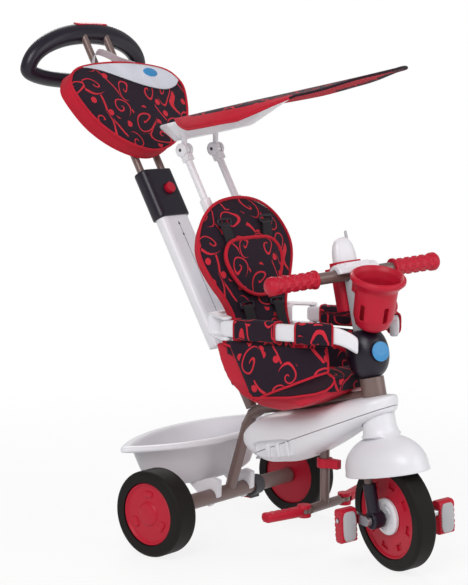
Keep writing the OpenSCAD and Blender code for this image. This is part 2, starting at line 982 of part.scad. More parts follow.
module at_press() {
    trike()
    translate([ring_x, 0, ring_z])
    rotate([0, ring_lean, 0])
    translate([0, 0, ring_up + ring_top_r])
    children();
}

module handle_ring() {
    color(DARK)
    difference() {
        trike() ring_solid();
        stem() tube_bores(0, tube_end() + play, tube_r + play);
        at_press() translate([0, 0, -press.z]) linear_extrude(height = far)
            rounded(press.x + 2 * clear, press.y + 2 * clear, press.x / 2 - 1);
    }
}

module handle_button() {
    color(RED)
    at_press()
    translate([0, 0, -press.z + 4])
    linear_extrude(height = press.z - 5)
    rounded(press.x, press.y, press.x / 2 - 1);
}

// Storage bag in front of the handle's tubes, hung a little to the right
bag_y = -10;
bag_gap = 28;

module bag() {
    half = bag_half_w * [[0, 0], [0.443, 0.127], [0.81, 0.418], [1, 0.81], [0.987, 1.025],
        [0.734, 1.203], [0, 1.278]];
    color(CLOTH)
    stem()
    translate([tube_r + clear, bag_y, casing_len + collar_len + bag_gap])
    rotate([90, 0, 90])
    pad(curve(mirrored(half), 4), [0, 0.76 * bag_half_w], bag_t, 6, 0, [], 0);
}

// Bucket and brake

function lens_r(reach) = (bucket_tip * bucket_tip + reach * reach) / (2 * reach);

module lens(inset) {
    mid = (bucket_front - bucket_back) * 0.55;
    front = bucket_front - mid;
    back = mid + bucket_back;
    intersection() {
        translate([bucket_front - lens_r(front), 0]) circle(r = lens_r(front) - inset, $fn = 160);
        translate([lens_r(back) - bucket_back, 0]) circle(r = lens_r(back) - inset, $fn = 160);
    }
}

module bucket_body(inset, low) {
    hull() {
        translate([0, 0, bucket_z - 12]) linear_extrude(height = 1) lens(18 + inset);
        translate([0, 0, low]) linear_extrude(height = 1) lens(42 + inset);
    }
}

module bucket() {
    wall = 3;
    floor_z = bucket_z - bucket_deep;
    color(WHITE)
    trike()
    difference() {
        union() {
            bucket_body(0, floor_z);
            translate([0, 0, bucket_z - 12]) linear_extrude(height = 12) lens(0);
            both_sides() saddle_leg(floor_z);
        }
        bucket_body(wall, floor_z + wall);
        translate([0, 0, bucket_z - 13]) linear_extrude(height = 14) lens(18 + wall);
        translate([0, 0, rear_r]) along_y(-far, far, axle_tube_r + play);
    }
}

// A leg under the bucket that clips over the axle tube
module saddle_leg(floor_z) {
    leg_t = 14;
    translate([0, 50 + leg_t / 2, 0])
    rotate([90, 0, 0])
    linear_extrude(height = leg_t)
    polygon([[-62, floor_z + 1], [-26, rear_r - 4], [-14, rear_r - 20], [-4, rear_r - 22], [18, rear_r + 2],
        [20, floor_z + 16], [0, floor_z + 20], [-36, floor_z + 1]]);
}

module brake_lever() {
    lever_w = 26;
    color(RED)
    trike()
    translate([0, 76, rear_r])
    difference() {
        union() {
            along_y(-lever_w / 2, lever_w / 2, axle_tube_r + 5);
            translate([-30, -lever_w / 2, -axle_tube_r - 11]) cube([34, lever_w, 7]);
        }
        along_y(-far, far, axle_tube_r + fit);
    }
}

// Footrest

module footrest_post() {
    tongue = 8;
    color(STEEL)
    trike()
    difference() {
        union() {
            translate([footrest_x, 0, footrest_z]) cylinder(r = footrest_r, h = spine_under() - footrest_z);
            translate([footrest_x, 0, footrest_z]) along_y(-peg_y + 18, peg_y - 18, footrest_r);
            both_sides() translate([footrest_x, 0, footrest_z - tongue / 2]) {
                translate([0, peg_y, 0]) cylinder(r = 11, h = tongue);
                translate([-8, peg_y - 24, 0]) cube([16, 24, tongue]);
            }
        }
        both_sides() translate([footrest_x, peg_y, 0]) cylinder(r = 4 + fit, h = footrest_z + 20);
        bent_tube(SPINE, spine_r + play);
    }
}

spine_slope = (SPINE[4].z - SPINE[3].z) / (SPINE[4].x - SPINE[3].x);
function spine_under() = SPINE[3].z + (footrest_x - SPINE[3].x) * spine_slope;

lock_z = 167;

module footrest_lock() {
    color(RED)
    trike()
    translate([footrest_x, 0, lock_z])
    difference() {
        union() {
            cylinder(r = footrest_r + 6, h = 18);
            translate([0, -7, 0]) cube([34, 14, 18]);
        }
        translate([0, 0, -1]) cylinder(r = footrest_r + fit, h = 40);
    }
}

module peg() {
    height = 24;
    bar = [24, 18];
    groove = [18, 6, 4];
    rotate([0, 0, peg_sweep]) {
        difference() {
            union() {
                cylinder(r = 13, h = height, center = true);
                rotate([-90, 0, 0]) linear_extrude(height = peg_len) rounded(bar.x, bar.y, 7);
            }
            cylinder(r = 15, h = 8 + 2 * clear, center = true);
            for (y = [36 : 14 : peg_len - 12])
                translate([0, y, bar.y / 2]) cube(groove, center = true);
        }
        cylinder(r = 4, h = height, center = true);
    }
}

module peg_right() {
    color(RED) trike() translate([footrest_x, -peg_y, footrest_z]) mirror([0, 1, 0]) peg();
}

module peg_left() {
    color(RED) trike() translate([footrest_x, peg_y, footrest_z]) peg();
}

// Steering group

// The fork crown, low enough to hide inside the mudguard
crown_w = front_r + 3;
crown_h = 10;
crown_len = 2 * fork_y + 8;

module fork() {
    color(STEEL)
    steered() {
        translate([0, 0, crown_w]) linear_extrude(height = crown_h) rounded(30, crown_len, 11);
        translate([0, 0, crown_w]) cylinder(r = steerer_r, h = bar_up - bar_r - crown_w - play);
        both_sides() translate([0, fork_y, 24]) cylinder(r = fork_leg_r, h = crown_w - 24);
    }
}

module fork_sleeves() {
    sleeve_r = fork_leg_r + 4;
    color(DARK)
    steered()
    both_sides()
    difference() {
        union() {
            translate([0, fork_y, 0]) cylinder(r = sleeve_r, h = 66);
            along_y(fork_y - sleeve_r - 1, fork_y + sleeve_r - 1, 17);
        }
        translate([0, fork_y, 24 - play]) cylinder(r = fork_leg_r + play, h = far);
        along_y(0, far, crank_r + fit);
    }
}

// Top of the mudguard's neck above the wheel's centre
neck_w = 190;

module fender() {
    wall = 3;
    rim_w = 88;
    neck_low = rim_w + 0.72 * fender_h;
    module shell(inset) {
        translate([0, 0, rim_w])
        dome(fender_len / 2 - inset, fender_w / 2 - inset, fender_h - inset, 10 + inset);
    }
    color(WHITE)
    steered()
    difference() {
        union() {
            shell(0);
            translate([0, 0, neck_low]) cylinder(r = fender_neck_r, h = neck_w - neck_low);
        }
        shell(wall);
        translate([0, 0, neck_low - 1]) cylinder(r = fender_neck_r - wall, h = neck_w - neck_low - 11);
        cylinder(r = steerer_r + play, h = far);
    }
}

module head_cover() {
    wall = 4;
    module bulb(r, h) {
        rotate_extrude($fn = 96)
        polygon(concat([for (a = [-66 : 6 : 60]) [r * pow(cos(a), 0.8), h / 2 * sin(a) / sin(66)]],
            [[0, h / 2 * sin(60) / sin(66)], [0, -h / 2]]));
    }
    color(DARK)
    steered()
    translate([0, 0, bulb_low + bulb_h / 2])
    difference() {
        union() {
            bulb(bulb_r, bulb_h);
            rotate([0, 90, 0]) cylinder(r = 19, h = bulb_r + 2);
        }
        bulb(bulb_r - wall, bulb_h - 2 * wall);
        translate([0, 0, -far / 2]) cylinder(r = steerer_r + play, h = far);
    }
}

column_low = bulb_low + bulb_h * 0.975;
column = [32, 36];
column_round = 12;

module stem_column() {
    color("lightgray")
    steered()
    difference() {
        column_block(0);
        cylinder(r = steerer_r + play, h = far);
        translate([0, 0, bar_up]) along_y(-far, far, bar_r + play);
    }
}

module handlebar() {
    color(STEEL)
    steered()
    translate([0, 0, bar_up])
    along_y(-bar_len / 2 + 6, bar_len / 2 - 6, bar_r);
}

module grips() {
    grip_r = bar_r + 4;
    color(RED)
    steered()
    translate([0, 0, bar_up])
    both_sides()
    translate([0, bar_len / 2 - grip_len, 0])
    rotate([-90, 0, 0])
    difference() {
        union() {
            cylinder(r = grip_r, h = grip_len - 7);
            for (i = [0 : 5]) translate([0, 0, 5 + 15 * i]) cylinder(r = grip_r + 1.6, h = 9);
            translate([0, 0, grip_len - 18]) cylinder(r = grip_r + 2.5, h = 11);
            translate([0, 0, grip_len - 7]) sphere(r = grip_r);
        }
        translate([0, 0, -1]) cylinder(r = bar_r + play, h = grip_len - 6 + 1);
        translate([0, 0, grip_len]) cylinder(r = far, h = far);
    }
}

module clamp_cover() {
    cover_w = 88;
    color(WHITE)
    steered()
    translate([0, 0, bar_up])
    difference() {
        union() {
            translate([3, 0, 0]) along_y(-cover_w / 2, cover_w / 2, bar_r + 9);
            translate([-16, -26, 0]) cube([34, 52, 22]);
        }
        along_y(-far, far, bar_r + play);
        translate([-far / 2, -far / 2, -far + 2 + play]) cube([far, far, far]);
    }
}

basket_u = 72;
// Lean of the basket from the steering axis, in degrees
basket_lean = rake + 16;
basket_drop = 19;

module in_basket() {
    translate([basket_u, 0, bar_up - basket_drop])
    rotate([0, basket_lean, 0])
    children();
}

module column_block(grow) {
    translate([0, 0, column_low])
    linear_extrude(height = bar_up - column_low + 2 + grow)
    rounded(column.x + 2 * grow, column.y + 2 * grow, column_round + grow);
}

// A cup with a rolled rim, its back wall drawn in round the column
module basket() {
    wall = 3;
    rim_r = 51;
    body_r = 39;
    tall = 96;
    tab = basket_u - column.x / 2 - body_r + 2;
    color(RED)
    steered()
    difference() {
        in_basket() {
            rotate_extrude($fn = 96)
            polygon([[0, -tall], [20, -tall], [31, 8 - tall], [body_r - 2, 26 - tall], [body_r, -14],
                [rim_r - 4, -4], [rim_r, 0], [rim_r, 6], [rim_r - 5, 10], [0, 10]]);
            translate([4 - basket_u + column.x / 2, -18, -40]) cube([tab, 36, 22]);
        }
        difference() {
            in_basket() {
                rotate_extrude($fn = 96)
                polygon([[0, wall - tall], [19, wall - tall], [29, 11 - tall], [body_r - 5, 27 - tall],
                    [body_r - 3, -12], [body_r + 1, 2], [rim_r - 5, 10], [rim_r - 5, 11], [0, 11]]);
                for (a = [71 : 72 : 400])
                    rotate([0, 0, a])
                    translate([body_r, 0, 40 - tall])
                    cube([16, 9, 30], center = true);
            }
            column_block(wall + play);
        }
        column_block(play);
    }
}

cradle = [34, 56];
cradle_h = 92;
cradle_drop = 66;
cradle_floor = 4;
cradle_v = 8;
cradle_u = -column.x / 2 - play - cradle.x / 2 - 2;

module phone_cradle() {
    color(RED)
    steered()
    translate([cradle_u, cradle_v, bar_up - cradle_drop])
    difference() {
        union() {
            linear_extrude(height = cradle_h) rounded(cradle.x, cradle.y, 9);
            translate([0, 0, cradle_h - 18]) linear_extrude(height = 8) rounded(cradle.x, cradle.y + 24, 9);
            translate([cradle.x / 2 - 4, -15, 0]) cube([6, 30, 30]);
        }
        translate([0, 0, cradle_floor]) linear_extrude(height = far) rounded(cradle.x - 7, cradle.y - 7, 7);
    }
}

phone_h = 120;

module toy_phone() {
    color("white")
    steered()
    translate([cradle_u, cradle_v, bar_up - cradle_drop + cradle_floor + clear]) {
        linear_extrude(height = phone_h) rounded(cradle.x - 9, cradle.y - 9, 8);
        translate([0, 0, phone_h - 1]) intersection() {
            sphere(r = cradle.x / 2 - 5);
            cylinder(r = 20, h = 20);
        }
        translate([0, 12, phone_h - 8]) cylinder(r = 3, h = 32);
    }
}

// The knob's distance from the steering axis
knob_v = 58;

module side_knob() {
    color(RED)
    steered()
    translate([3, 0, column_low + 0.35 * bar_rise]) {
        along_y(column.y / 2 + play, knob_v - 6, 5);
        translate([0, knob_v, 0]) intersection() {
            sphere(r = 20);
            along_y(-12, 20, 30);
        }
    }
}

// Front wheel and pedals

module front_tyre() {
    color(RUBBER) steered() tyre(front_r, front_w, front_disc_r + play);
}

module front_hub() {
    color(RED)
    steered() {
        wheel_disc(front_disc_r, front_w, 24, crank_r + play, 8);
        mirror([0, 1, 0])
        rotate([90, 0, 0])
        rotate_extrude($fn = 96)
        translate([24, front_w / 2 - 11])
        square([front_disc_r - 29, 6]);
    }
}

module hub_caps() {
    color(WHITE)
    steered()
    both_sides()
    difference() {
        along_y(front_w / 2 - 5 + play, front_w / 2 + 3, hub_cap_r);
        along_y(0, far, crank_r + play);
        along_y(0, front_w / 2 - 2 + play, 24 + play);
    }
}

crank_t = 8;
crank_y = fork_y + fork_leg_r + 5;
spindle_r = 4;

// The pedals' frame: level cranks on the turned front end
module cranked() {
    steered() rotate([0, rake, 0]) children();
}

module crankshaft() {
    color("silver")
    cranked() {
        along_y(-crank_y - crank_t, crank_y + crank_t, crank_r);
        for (s = [-1, 1])
            difference() {
                hull() {
                    for (u = [0, s * crank_len])
                        translate([u, s * (crank_y + crank_t / 2), 0])
                        along_y(-crank_t / 2, crank_t / 2, 9);
                }
                along_y(-far, far, crank_r - 0.01);
            }
        for (s = [0, 180])
            rotate([0, 0, s])
            translate([crank_len, crank_y + crank_t, 0])
            along_y(0, pedal_len + 3, spindle_r);
    }
}

pedal_y = crank_y + crank_t + 1;
pedal_hang = 11;

// A pedal that hangs below its spindle, grooved on both faces
module pedal() {
    low = -pedal_w / 2 - pedal_hang;
    difference() {
        union() {
            along_y(0, pedal_len, 9);
            translate([0, 0, low + pedal_w / 2])
            rotate([-90, 0, 0])
            linear_extrude(height = pedal_len)
            rounded(pedal_t, pedal_w, 8);
        }
        along_y(-1, far, spindle_r + fit);
        for (z = [low + 8 : 10 : low + pedal_w - 8], u = [-1, 1])
            translate([u * pedal_t / 2, pedal_len / 2, z]) cube([4, pedal_len + 2, 3], center = true);
    }
}

module pedal_right() {
    color(RED) cranked() translate([-crank_len, -pedal_y, 0]) mirror([0, 1, 0]) pedal();
}

module pedal_left() {
    color(RED) cranked() translate([crank_len, pedal_y, 0]) pedal();
}

// Rear wheels

module rear_place(s) {
    trike()
    translate([0, s * (track_w - rear_w) / 2, rear_r])
    mirror([0, s > 0 ? 1 : 0, 0])
    children();
}

module rear_tyre_right() {
    color(RUBBER) rear_place(-1) tyre(rear_r, rear_w, rear_disc_r + play);
}

module rear_tyre_left() {
    color(RUBBER) rear_place(1) tyre(rear_r, rear_w, rear_disc_r + play);
}

module rear_hub() {
    difference() {
        union() {
            wheel_disc(rear_disc_r, rear_w, 16, axle_rod_r + fit, 3);
            along_y(-rear_w / 2 + 1, -rear_w / 2 + 8, 20);
        }
        along_y(-rear_w / 2 + 7, far, axle_rod_r + fit);
    }
}

module rear_hub_right() {
    color(RED) rear_place(-1) rear_hub();
}

module rear_hub_left() {
    color(RED) rear_place(1) rear_hub();
}

axle_tube();
axle_rod();
spine_tube();
head_tube();
head_bushes();
body_shell_upper();
body_shell_lower();
body_screws();
seat_shell();
back_shell();
back_pad();
insert_pad();
seat_cushion();
side_flaps();
harness_straps();
arm_right();
arm_left();
sleeves_right();
sleeves_left();
canopy_poles();
canopy_base();
canopy_cloth();
handle_post();
handle_casing();
handle_collar();
collar_button();
handle_tubes();
handle_ring();
handle_button();
bag();
bucket();
brake_lever();
footrest_post();
footrest_lock();
peg_right();
peg_left();
fork();
fork_sleeves();
fender();
head_cover();
stem_column();
handlebar();
grips();
clamp_cover();
basket();
phone_cradle();
toy_phone();
side_knob();
front_tyre();
front_hub();
hub_caps();
crankshaft();
pedal_right();
pedal_left();
rear_tyre_right();
rear_tyre_left();
rear_hub_right();
rear_hub_left();
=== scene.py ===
"""Looks of the push-along trike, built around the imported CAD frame.

Lengths are in mm, each in a frame of reference, until mesh_of() turns them into metres of the shared frame.
"""
import json
import math

import bmesh
import bpy
import numpy as np
from mathutils import Matrix, Vector
from mathutils.bvhtree import BVHTree

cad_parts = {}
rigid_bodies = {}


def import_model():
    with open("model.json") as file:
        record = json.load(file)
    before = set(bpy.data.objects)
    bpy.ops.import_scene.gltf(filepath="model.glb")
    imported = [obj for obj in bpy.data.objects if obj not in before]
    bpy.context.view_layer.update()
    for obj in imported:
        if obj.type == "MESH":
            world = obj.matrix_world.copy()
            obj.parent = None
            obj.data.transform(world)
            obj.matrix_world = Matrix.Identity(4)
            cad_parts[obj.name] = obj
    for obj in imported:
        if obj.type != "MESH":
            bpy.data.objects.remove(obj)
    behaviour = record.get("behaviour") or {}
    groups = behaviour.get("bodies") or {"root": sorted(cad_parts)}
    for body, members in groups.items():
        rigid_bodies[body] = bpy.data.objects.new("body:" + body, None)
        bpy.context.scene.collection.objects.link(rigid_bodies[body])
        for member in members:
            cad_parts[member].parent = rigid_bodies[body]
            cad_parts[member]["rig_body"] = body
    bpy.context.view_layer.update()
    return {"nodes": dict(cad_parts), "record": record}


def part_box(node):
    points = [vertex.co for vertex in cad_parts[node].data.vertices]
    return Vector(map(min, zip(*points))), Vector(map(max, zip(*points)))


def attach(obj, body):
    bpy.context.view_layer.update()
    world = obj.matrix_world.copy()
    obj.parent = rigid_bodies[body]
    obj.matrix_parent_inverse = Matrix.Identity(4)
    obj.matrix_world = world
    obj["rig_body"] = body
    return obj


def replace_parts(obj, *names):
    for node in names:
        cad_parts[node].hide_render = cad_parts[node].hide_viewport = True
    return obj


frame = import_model()
NODES = frame["nodes"]
MM = 0.001
SIDES = ((-1, "right"), (1, "left"))

# Sizes that repeat the CAD source
WHEELBASE = 398
RAKE = 12.5
STEER = 19
REAR_R = 82
REAR_W = 51
TRACK = 475
FRONT_W = 41
SEAT_Z = 286
BAR_LEN = 382
GRIP_LEN = 106
ARM_Z = 433
ARM_H = 31
ARM_T = 18
HEAD_LOW = 196
HEAD_LEN = 58
BULB_R = 40
BULB_H = 88
BULB_LOW = HEAD_LOW + HEAD_LEN + 1.2
BAR_UP = BULB_LOW + BULB_H + 103
SEAM_Z = 172
SEAM_RISE = 114
SEAM_RUN = 270
PHONE_AT = (-35.1, 8, BAR_UP - 61.7)
PHONE_HALF = (12.5, 23.5)
KNUCKLE_X = -75
KNUCKLE_Z = 755
POLE_Y = 46
CASING_D = 28
CASING_LEN = 280
CANOPY_HALF_LEN = 250
CANOPY_HALF_WIDE = 160
CANOPY_SKIRT = 22
BAG_T = 34

# Places read from the frame
low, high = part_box("axle_tube")
MID = -(low.x + high.x) / 2 / MM
low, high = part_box("front_tyre")
FRONT_Z = (low.z + high.z) / 2 / MM


# Frames of reference

def turn(axis, deg):
    return Matrix.Rotation(math.radians(deg), 4, axis)


def shift(x, y, z):
    return Matrix.Translation((x, y, z))


TRIKE = shift(-MID, 0, 0)
HEADED = TRIKE @ shift(WHEELBASE, 0, FRONT_Z) @ turn("Y", -RAKE)
STEERED = HEADED @ turn("Z", -STEER)
STEM = TRIKE @ shift(-10, 0, 374) @ turn("Y", -30.4)
BACK = TRIKE @ shift(80, 0, 442) @ turn("Y", -16.2)
CANOPY = TRIKE @ shift(KNUCKLE_X, 0, KNUCKLE_Z) @ turn("Y", -10.5) @ turn("X", 5)


def mirror(side):
    """The trike's frame, with the left side's y outward on either side."""
    return TRIKE @ Matrix.Diagonal((1, side, 1, 1))


# Curves

def around(n):
    """Angles at n even steps round a full turn."""
    return np.linspace(0, 2 * math.pi, n, endpoint=False)


def bend(a, b, c, d, t):
    """A point between b and c on the smooth curve through a, b, c and d."""
    slope = (c - a) * t
    square = (2 * a - 5 * b + 4 * c - d) * t * t
    return 0.5 * (2 * b + slope + square + (3 * b - a - 3 * c + d) * t ** 3)


def loop(points, n):
    """A smooth closed curve through points, with n steps between each two."""
    p = np.asarray(points, float)
    k = len(p)
    steps = [(i, t / n) for i in range(k) for t in range(n)]
    return np.array([bend(p[i - 1], p[i], p[(i + 1) % k], p[(i + 2) % k], t) for i, t in steps])


def line(points, n):
    """A smooth open curve through points, with n steps between each two."""
    p = np.asarray(points, float)
    p = np.vstack([2 * p[0] - p[1], p, 2 * p[-1] - p[-2]])
    steps = [(i, t / n) for i in range(1, len(p) - 2) for t in range(n)]
    return np.array([bend(p[i - 1], p[i], p[i + 1], p[i + 2], t) for i, t in steps] + [p[-2]])


def mirrored(half):
    """A closed outline from one half of it, whose ends lie on the middle line."""
    return [tuple(q) for q in half] + [(-x, y) for x, y in reversed(half) if x > 0.01]


def lengths(p):
    """How far along a curve each of its points lies."""
    return np.concatenate([[0], np.cumsum(np.linalg.norm(np.diff(p, axis=0), axis=1))])


def even(points, n, closed=True):
    """The curve's points set at even steps along its length."""
    p = np.asarray(points, float)
    q = np.vstack([p, p[:1]]) if closed else p
    s = lengths(q)
    t = np.linspace(0, s[-1], n + 1)[:n] if closed else np.linspace(0, s[-1], n)
    return np.stack([np.interp(t, s, q[:, i]) for i in range(q.shape[1])], 1)


def through(x, points):
    """Heights at x on the straight runs between points."""
    return np.interp(x, *np.transpose(points))


def superellipse(n, power):
    """A rounded box from -1 to 1, squarer with a higher power."""
    a = around(n)
    c, s = np.cos(a), np.sin(a)
    return np.stack([np.sign(c) * np.abs(c) ** (2 / power), np.sign(s) * np.abs(s) ** (2 / power)], 1)


def ovals(rows, n=72):
    """Rings about the local Z axis from rows of half length, half width and height."""
    a = around(n)
    return [np.stack([u * np.cos(a), v * np.sin(a), np.full(n, w)], 1) for u, v, w in rows]


# Meshes

def loft(rings, hoop=False):
    """A skin over rings of points: a hoop joins its last ring to the first, or else both ends are closed."""
    n = len(rings[0])
    count = len(rings)
    faces = []
    for k in range(count if hoop else count - 1):
        this = k * n
        after = (k + 1) % count * n
        for i in range(n):
            j = (i + 1) % n
            faces.append((this + i, this + j, after + j, after + i))
    if not hoop:
        faces.append(tuple(range(n - 1, -1, -1)))
        faces.append(tuple(range((count - 1) * n, count * n)))
    return np.concatenate([np.asarray(r, float) for r in rings]), faces


def stacked(outline, rows, axis=2):
    """A solid from an outline set across an axis, at each row's height and scale."""
    return loft([np.insert(np.asarray(outline, float) * scale, axis, h, axis=1) for h, scale in rows])


def rod(r, z0, z1, n=72):
    """A round rod along the local Z axis."""
    return loft(ovals([(r, r, z0), (r, r, z1)], n))


def tube(path, r, n=10, closed=False):
    """A tube of one radius, or of one radius a point, along a path."""
    p = np.asarray(path, float)
    t = (np.roll(p, -1, 0) - np.roll(p, 1, 0)) if closed else np.gradient(p, axis=0)
    t /= np.linalg.norm(t, axis=1)[:, None]
    ref = np.array((0, 0, 1) if abs(t[0][2]) < 0.9 else (1, 0, 0), float)
    radius = np.broadcast_to(r, (len(p),))
    a = around(n)
    rings = []
    for i in range(len(p)):
        side = np.cross(t[i], ref)
        side /= np.linalg.norm(side)
        ref = np.cross(side, t[i])
        rings.append(p[i] + radius[i] * (np.cos(a)[:, None] * side + np.sin(a)[:, None] * ref))
    return loft(rings, hoop=closed)


def revolve(profile, n=96, hoop=False):
    """A solid of revolution about the local Y axis from (radius, y) points; a radius of 0 closes an end."""
    a = around(n)
    return loft([np.stack([r * np.cos(a), np.full(n, y), r * np.sin(a)], 1) for r, y in profile], hoop)


def revolve_x(profile, n, at):
    """A solid of revolution about the line through a place along the local X axis."""
    v, f = revolve(profile, n)
    return v[:, [1, 0, 2]] + at, f


def joined(*parts):
    """Several meshes as one."""
    verts, faces, at = [], [], 0
    for v, f in parts:
        verts.append(np.asarray(v, float))
        faces += [tuple(i + at for i in q) for q in f]
        at += len(v)
    return np.concatenate(verts), faces


def mesh_of(name, verts, faces, place):
    """A mesh in metres from points in mm in a frame of reference, with its faces turned outward."""
    m = np.array(place)
    points = (np.asarray(verts, float) @ m[:3, :3].T + m[:3, 3]) * MM
    mesh = bpy.data.meshes.new(name)
    mesh.from_pydata(points.tolist(), [], [tuple(int(i) for i in f) for f in faces])
    bm = bmesh.new()
    bm.from_mesh(mesh)
    bmesh.ops.recalc_face_normals(bm, faces=bm.faces)
    bm.to_mesh(mesh)
    bm.free()
    return mesh


def linked(name, data):
    """A new object in the scene."""
    obj = bpy.data.objects.new(name, data)
    bpy.context.scene.collection.objects.link(obj)
    return obj


def shade(obj):
    """Smooth shading on every face."""
    obj.data.polygons.foreach_set("use_smooth", [True] * len(obj.data.polygons))
    return obj


def by_angle(obj, deg):
    """Keeps an edge sharp in the shading where its faces turn by more than an angle."""
    obj.data.set_sharp_from_angle(angle=math.radians(deg))
    return obj


def bake(obj):
    """Applies the object's modifiers to its mesh."""
    deps = bpy.context.evaluated_depsgraph_get()
    result = obj.evaluated_get(deps)
    mesh = bpy.data.meshes.new_from_object(result, preserve_all_data_layers=True, depsgraph=deps)
    obj.modifiers.clear()
    obj.data = mesh
    return obj


def cut(obj, *solids):
    """Takes solids, given as (points, faces, frame), out of a piece, and shades what is left."""
    for verts, faces, place in solids:
        cutter = linked("cutter", mesh_of("cutter", verts, faces, place))
        mod = obj.modifiers.new("cut", "BOOLEAN")
        mod.operation = "DIFFERENCE"
        mod.object = cutter
        mod.solver = "EXACT"
        bake(obj)
        bpy.data.objects.remove(cutter)
    return shade(obj)


def thicken(obj, thick):
    """Gives a sheet its thickness in mm."""
    mod = obj.modifiers.new("thick", "SOLIDIFY")
    mod.thickness = thick * MM
    mod.offset = 0
    return bake(shade(obj))


def piece(name, verts, faces, place, body, mats, slot=None, uv=None, marks=None, smooth=True):
    """A mesh from points in mm in a frame of reference, riding on a CAD body."""
    mats = mats if isinstance(mats, list) else [mats]
    mesh = mesh_of(name, verts, faces, place)
    if uv is not None:
        layer = mesh.uv_layers.new(name="UVMap")
        index = np.zeros(len(mesh.loops), int)
        mesh.loops.foreach_get("vertex_index", index)
        layer.data.foreach_set("uv", (np.asarray(uv, float)[index] * MM).ravel())
    for mat in mats:
        mesh.materials.append(mat)
    if marks is not None:
        mesh.polygons.foreach_set("material_index", np.asarray(marks, int))
    obj = linked(name, mesh)
    if smooth:
        shade(obj)
    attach(obj, body)
    return obj


def soften(node, voxel, rounds):
    """A copy of a CAD solid with its moulded edges rounded, which stands for the node."""
    source = NODES[node]
    mat = source.data.materials[0]
    obj = linked(node + "_moulding", source.data.copy())
    bm = bmesh.new()
    bm.from_mesh(obj.data)
    bmesh.ops.remove_doubles(bm, verts=bm.verts, dist=1e-6)
    bm.to_mesh(obj.data)
    bm.free()
    mod = obj.modifiers.new("remesh", "REMESH")
    mod.mode = "VOXEL"
    mod.voxel_size = voxel * MM
    mod = obj.modifiers.new("smooth", "SMOOTH")
    mod.factor = 0.5
    mod.iterations = rounds
    mod = obj.modifiers.new("thin", "DECIMATE")
    mod.ratio = 0.4
    bake(obj)
    obj.data.materials.clear()
    obj.data.materials.append(mat)
    shade(obj)
    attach(obj, source["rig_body"])
    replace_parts(obj, node)
    return obj


# Shader nodes

def srgb(r, g, b):
    """A screen colour of 0 to 255 in the renderer's linear light."""
    parts = [c / 255 for c in (r, g, b)]
    return tuple(((c + 0.055) / 1.055) ** 2.4 if c > 0.04 else c / 12.92 for c in parts) + (1.0,)


def tint(c, k):
    """A colour made lighter or darker."""
    return tuple(min(1, v * k) for v in c[:3]) + (1.0,)


def nodes_of(name):
    """A new material with its node tree and main shader."""
    mat = bpy.data.materials.new(name)
    mat.use_nodes = True
    tree = mat.node_tree
    return mat, tree, tree.nodes["Principled BSDF"]


def plug(tree, socket, value):
    """Gives an input a value, or links another node's output to it."""
    if isinstance(value, bpy.types.NodeSocket):
        tree.links.new(value, socket)
    else:
        socket.default_value = value


def dress(tree, node, values):
    """Gives a node several inputs by name."""
    for key, value in values.items():
        plug(tree, node.inputs[key], value)


def add(tree, kind, **values):
    """A new node with settings and inputs by name."""
    node = tree.nodes.new("ShaderNode" + kind)
    for key, value in values.items():
        if key in node.inputs:
            plug(tree, node.inputs[key], value)
        else:
            setattr(node, key, value)
    return node


def operator(tree, kind, op, values):
    """A node that works something out from its inputs in order."""
    node = add(tree, kind, operation=op)
    for socket, value in zip(node.inputs, values):
        plug(tree, socket, value)
    return node


def calc(tree, op, *values):
    return operator(tree, "Math", op, values).outputs[0]


def vector_node(tree, op, *values):
    return operator(tree, "VectorMath", op, values).outputs


def mixed(tree, factor, a, b, blend="MIX"):
    """Two colours mixed by a factor."""
    node = add(tree, "Mix", data_type="RGBA", blend_type=blend)
    for index, value in ((0, factor), (6, a), (7, b)):
        plug(tree, node.inputs[index], value)
    return node.outputs[2]


# Materials

def moulded(name, colour, rough, coat=0.0, grain=900.0, depth=0.03, metal=0.0, mottle=0.06, gloss=0.5):
    """Plastic, paint or rubber with a slight mottle, uneven gloss and a fine moulded grain."""
    mat, tree, bsdf = nodes_of(name)
    where = add(tree, "TexCoord").outputs["Object"]
    cloud = add(tree, "TexNoise", Scale=28.0, Detail=4.0, Vector=where).outputs[0]
    fine = add(tree, "TexNoise", Scale=grain, Detail=2.0, Vector=where).outputs[0]
    ramp = add(tree, "MapRange", Value=cloud)
    dress(tree, ramp, {"To Min": max(0.05, rough - 0.07), "To Max": rough + 0.09})
    bump = add(tree, "Bump", Strength=depth, Distance=0.0006, Height=fine)
    dress(tree, bsdf, {
        "Base Color": mixed(tree, cloud, tint(colour, 1 - mottle), tint(colour, 1 + mottle)),
        "Roughness": ramp.outputs[0],
        "Normal": bump.outputs[0],
        "Coat Weight": coat,
        "Coat Roughness": 0.18,
        "Specular IOR Level": gloss,
        "Metallic": metal,
    })
    return mat


def woven(tree, uv, yarn):
    """A plain weave's height and bump, with one yarn every so many metres."""
    waves = []
    for axis in ("X", "Y"):
        wave = add(tree, "TexWave", Scale=0.314 / yarn, bands_direction=axis, Vector=uv)
        waves.append(wave.outputs["Fac"])
    height = calc(tree, "MAXIMUM", *waves)
    bump = add(tree, "Bump", Strength=0.35, Distance=0.0005, Height=height)
    return height, bump.outputs[0]


def cells(tree, uv, scale, jitter):
    """Scattered points on the cloth, with a random colour for each."""
    node = add(tree, "TexVoronoi", voronoi_dimensions="2D", Scale=scale, Randomness=jitter, Vector=uv)
    pick = add(tree, "SeparateColor", Color=node.outputs["Color"])
    return node.outputs, pick.outputs


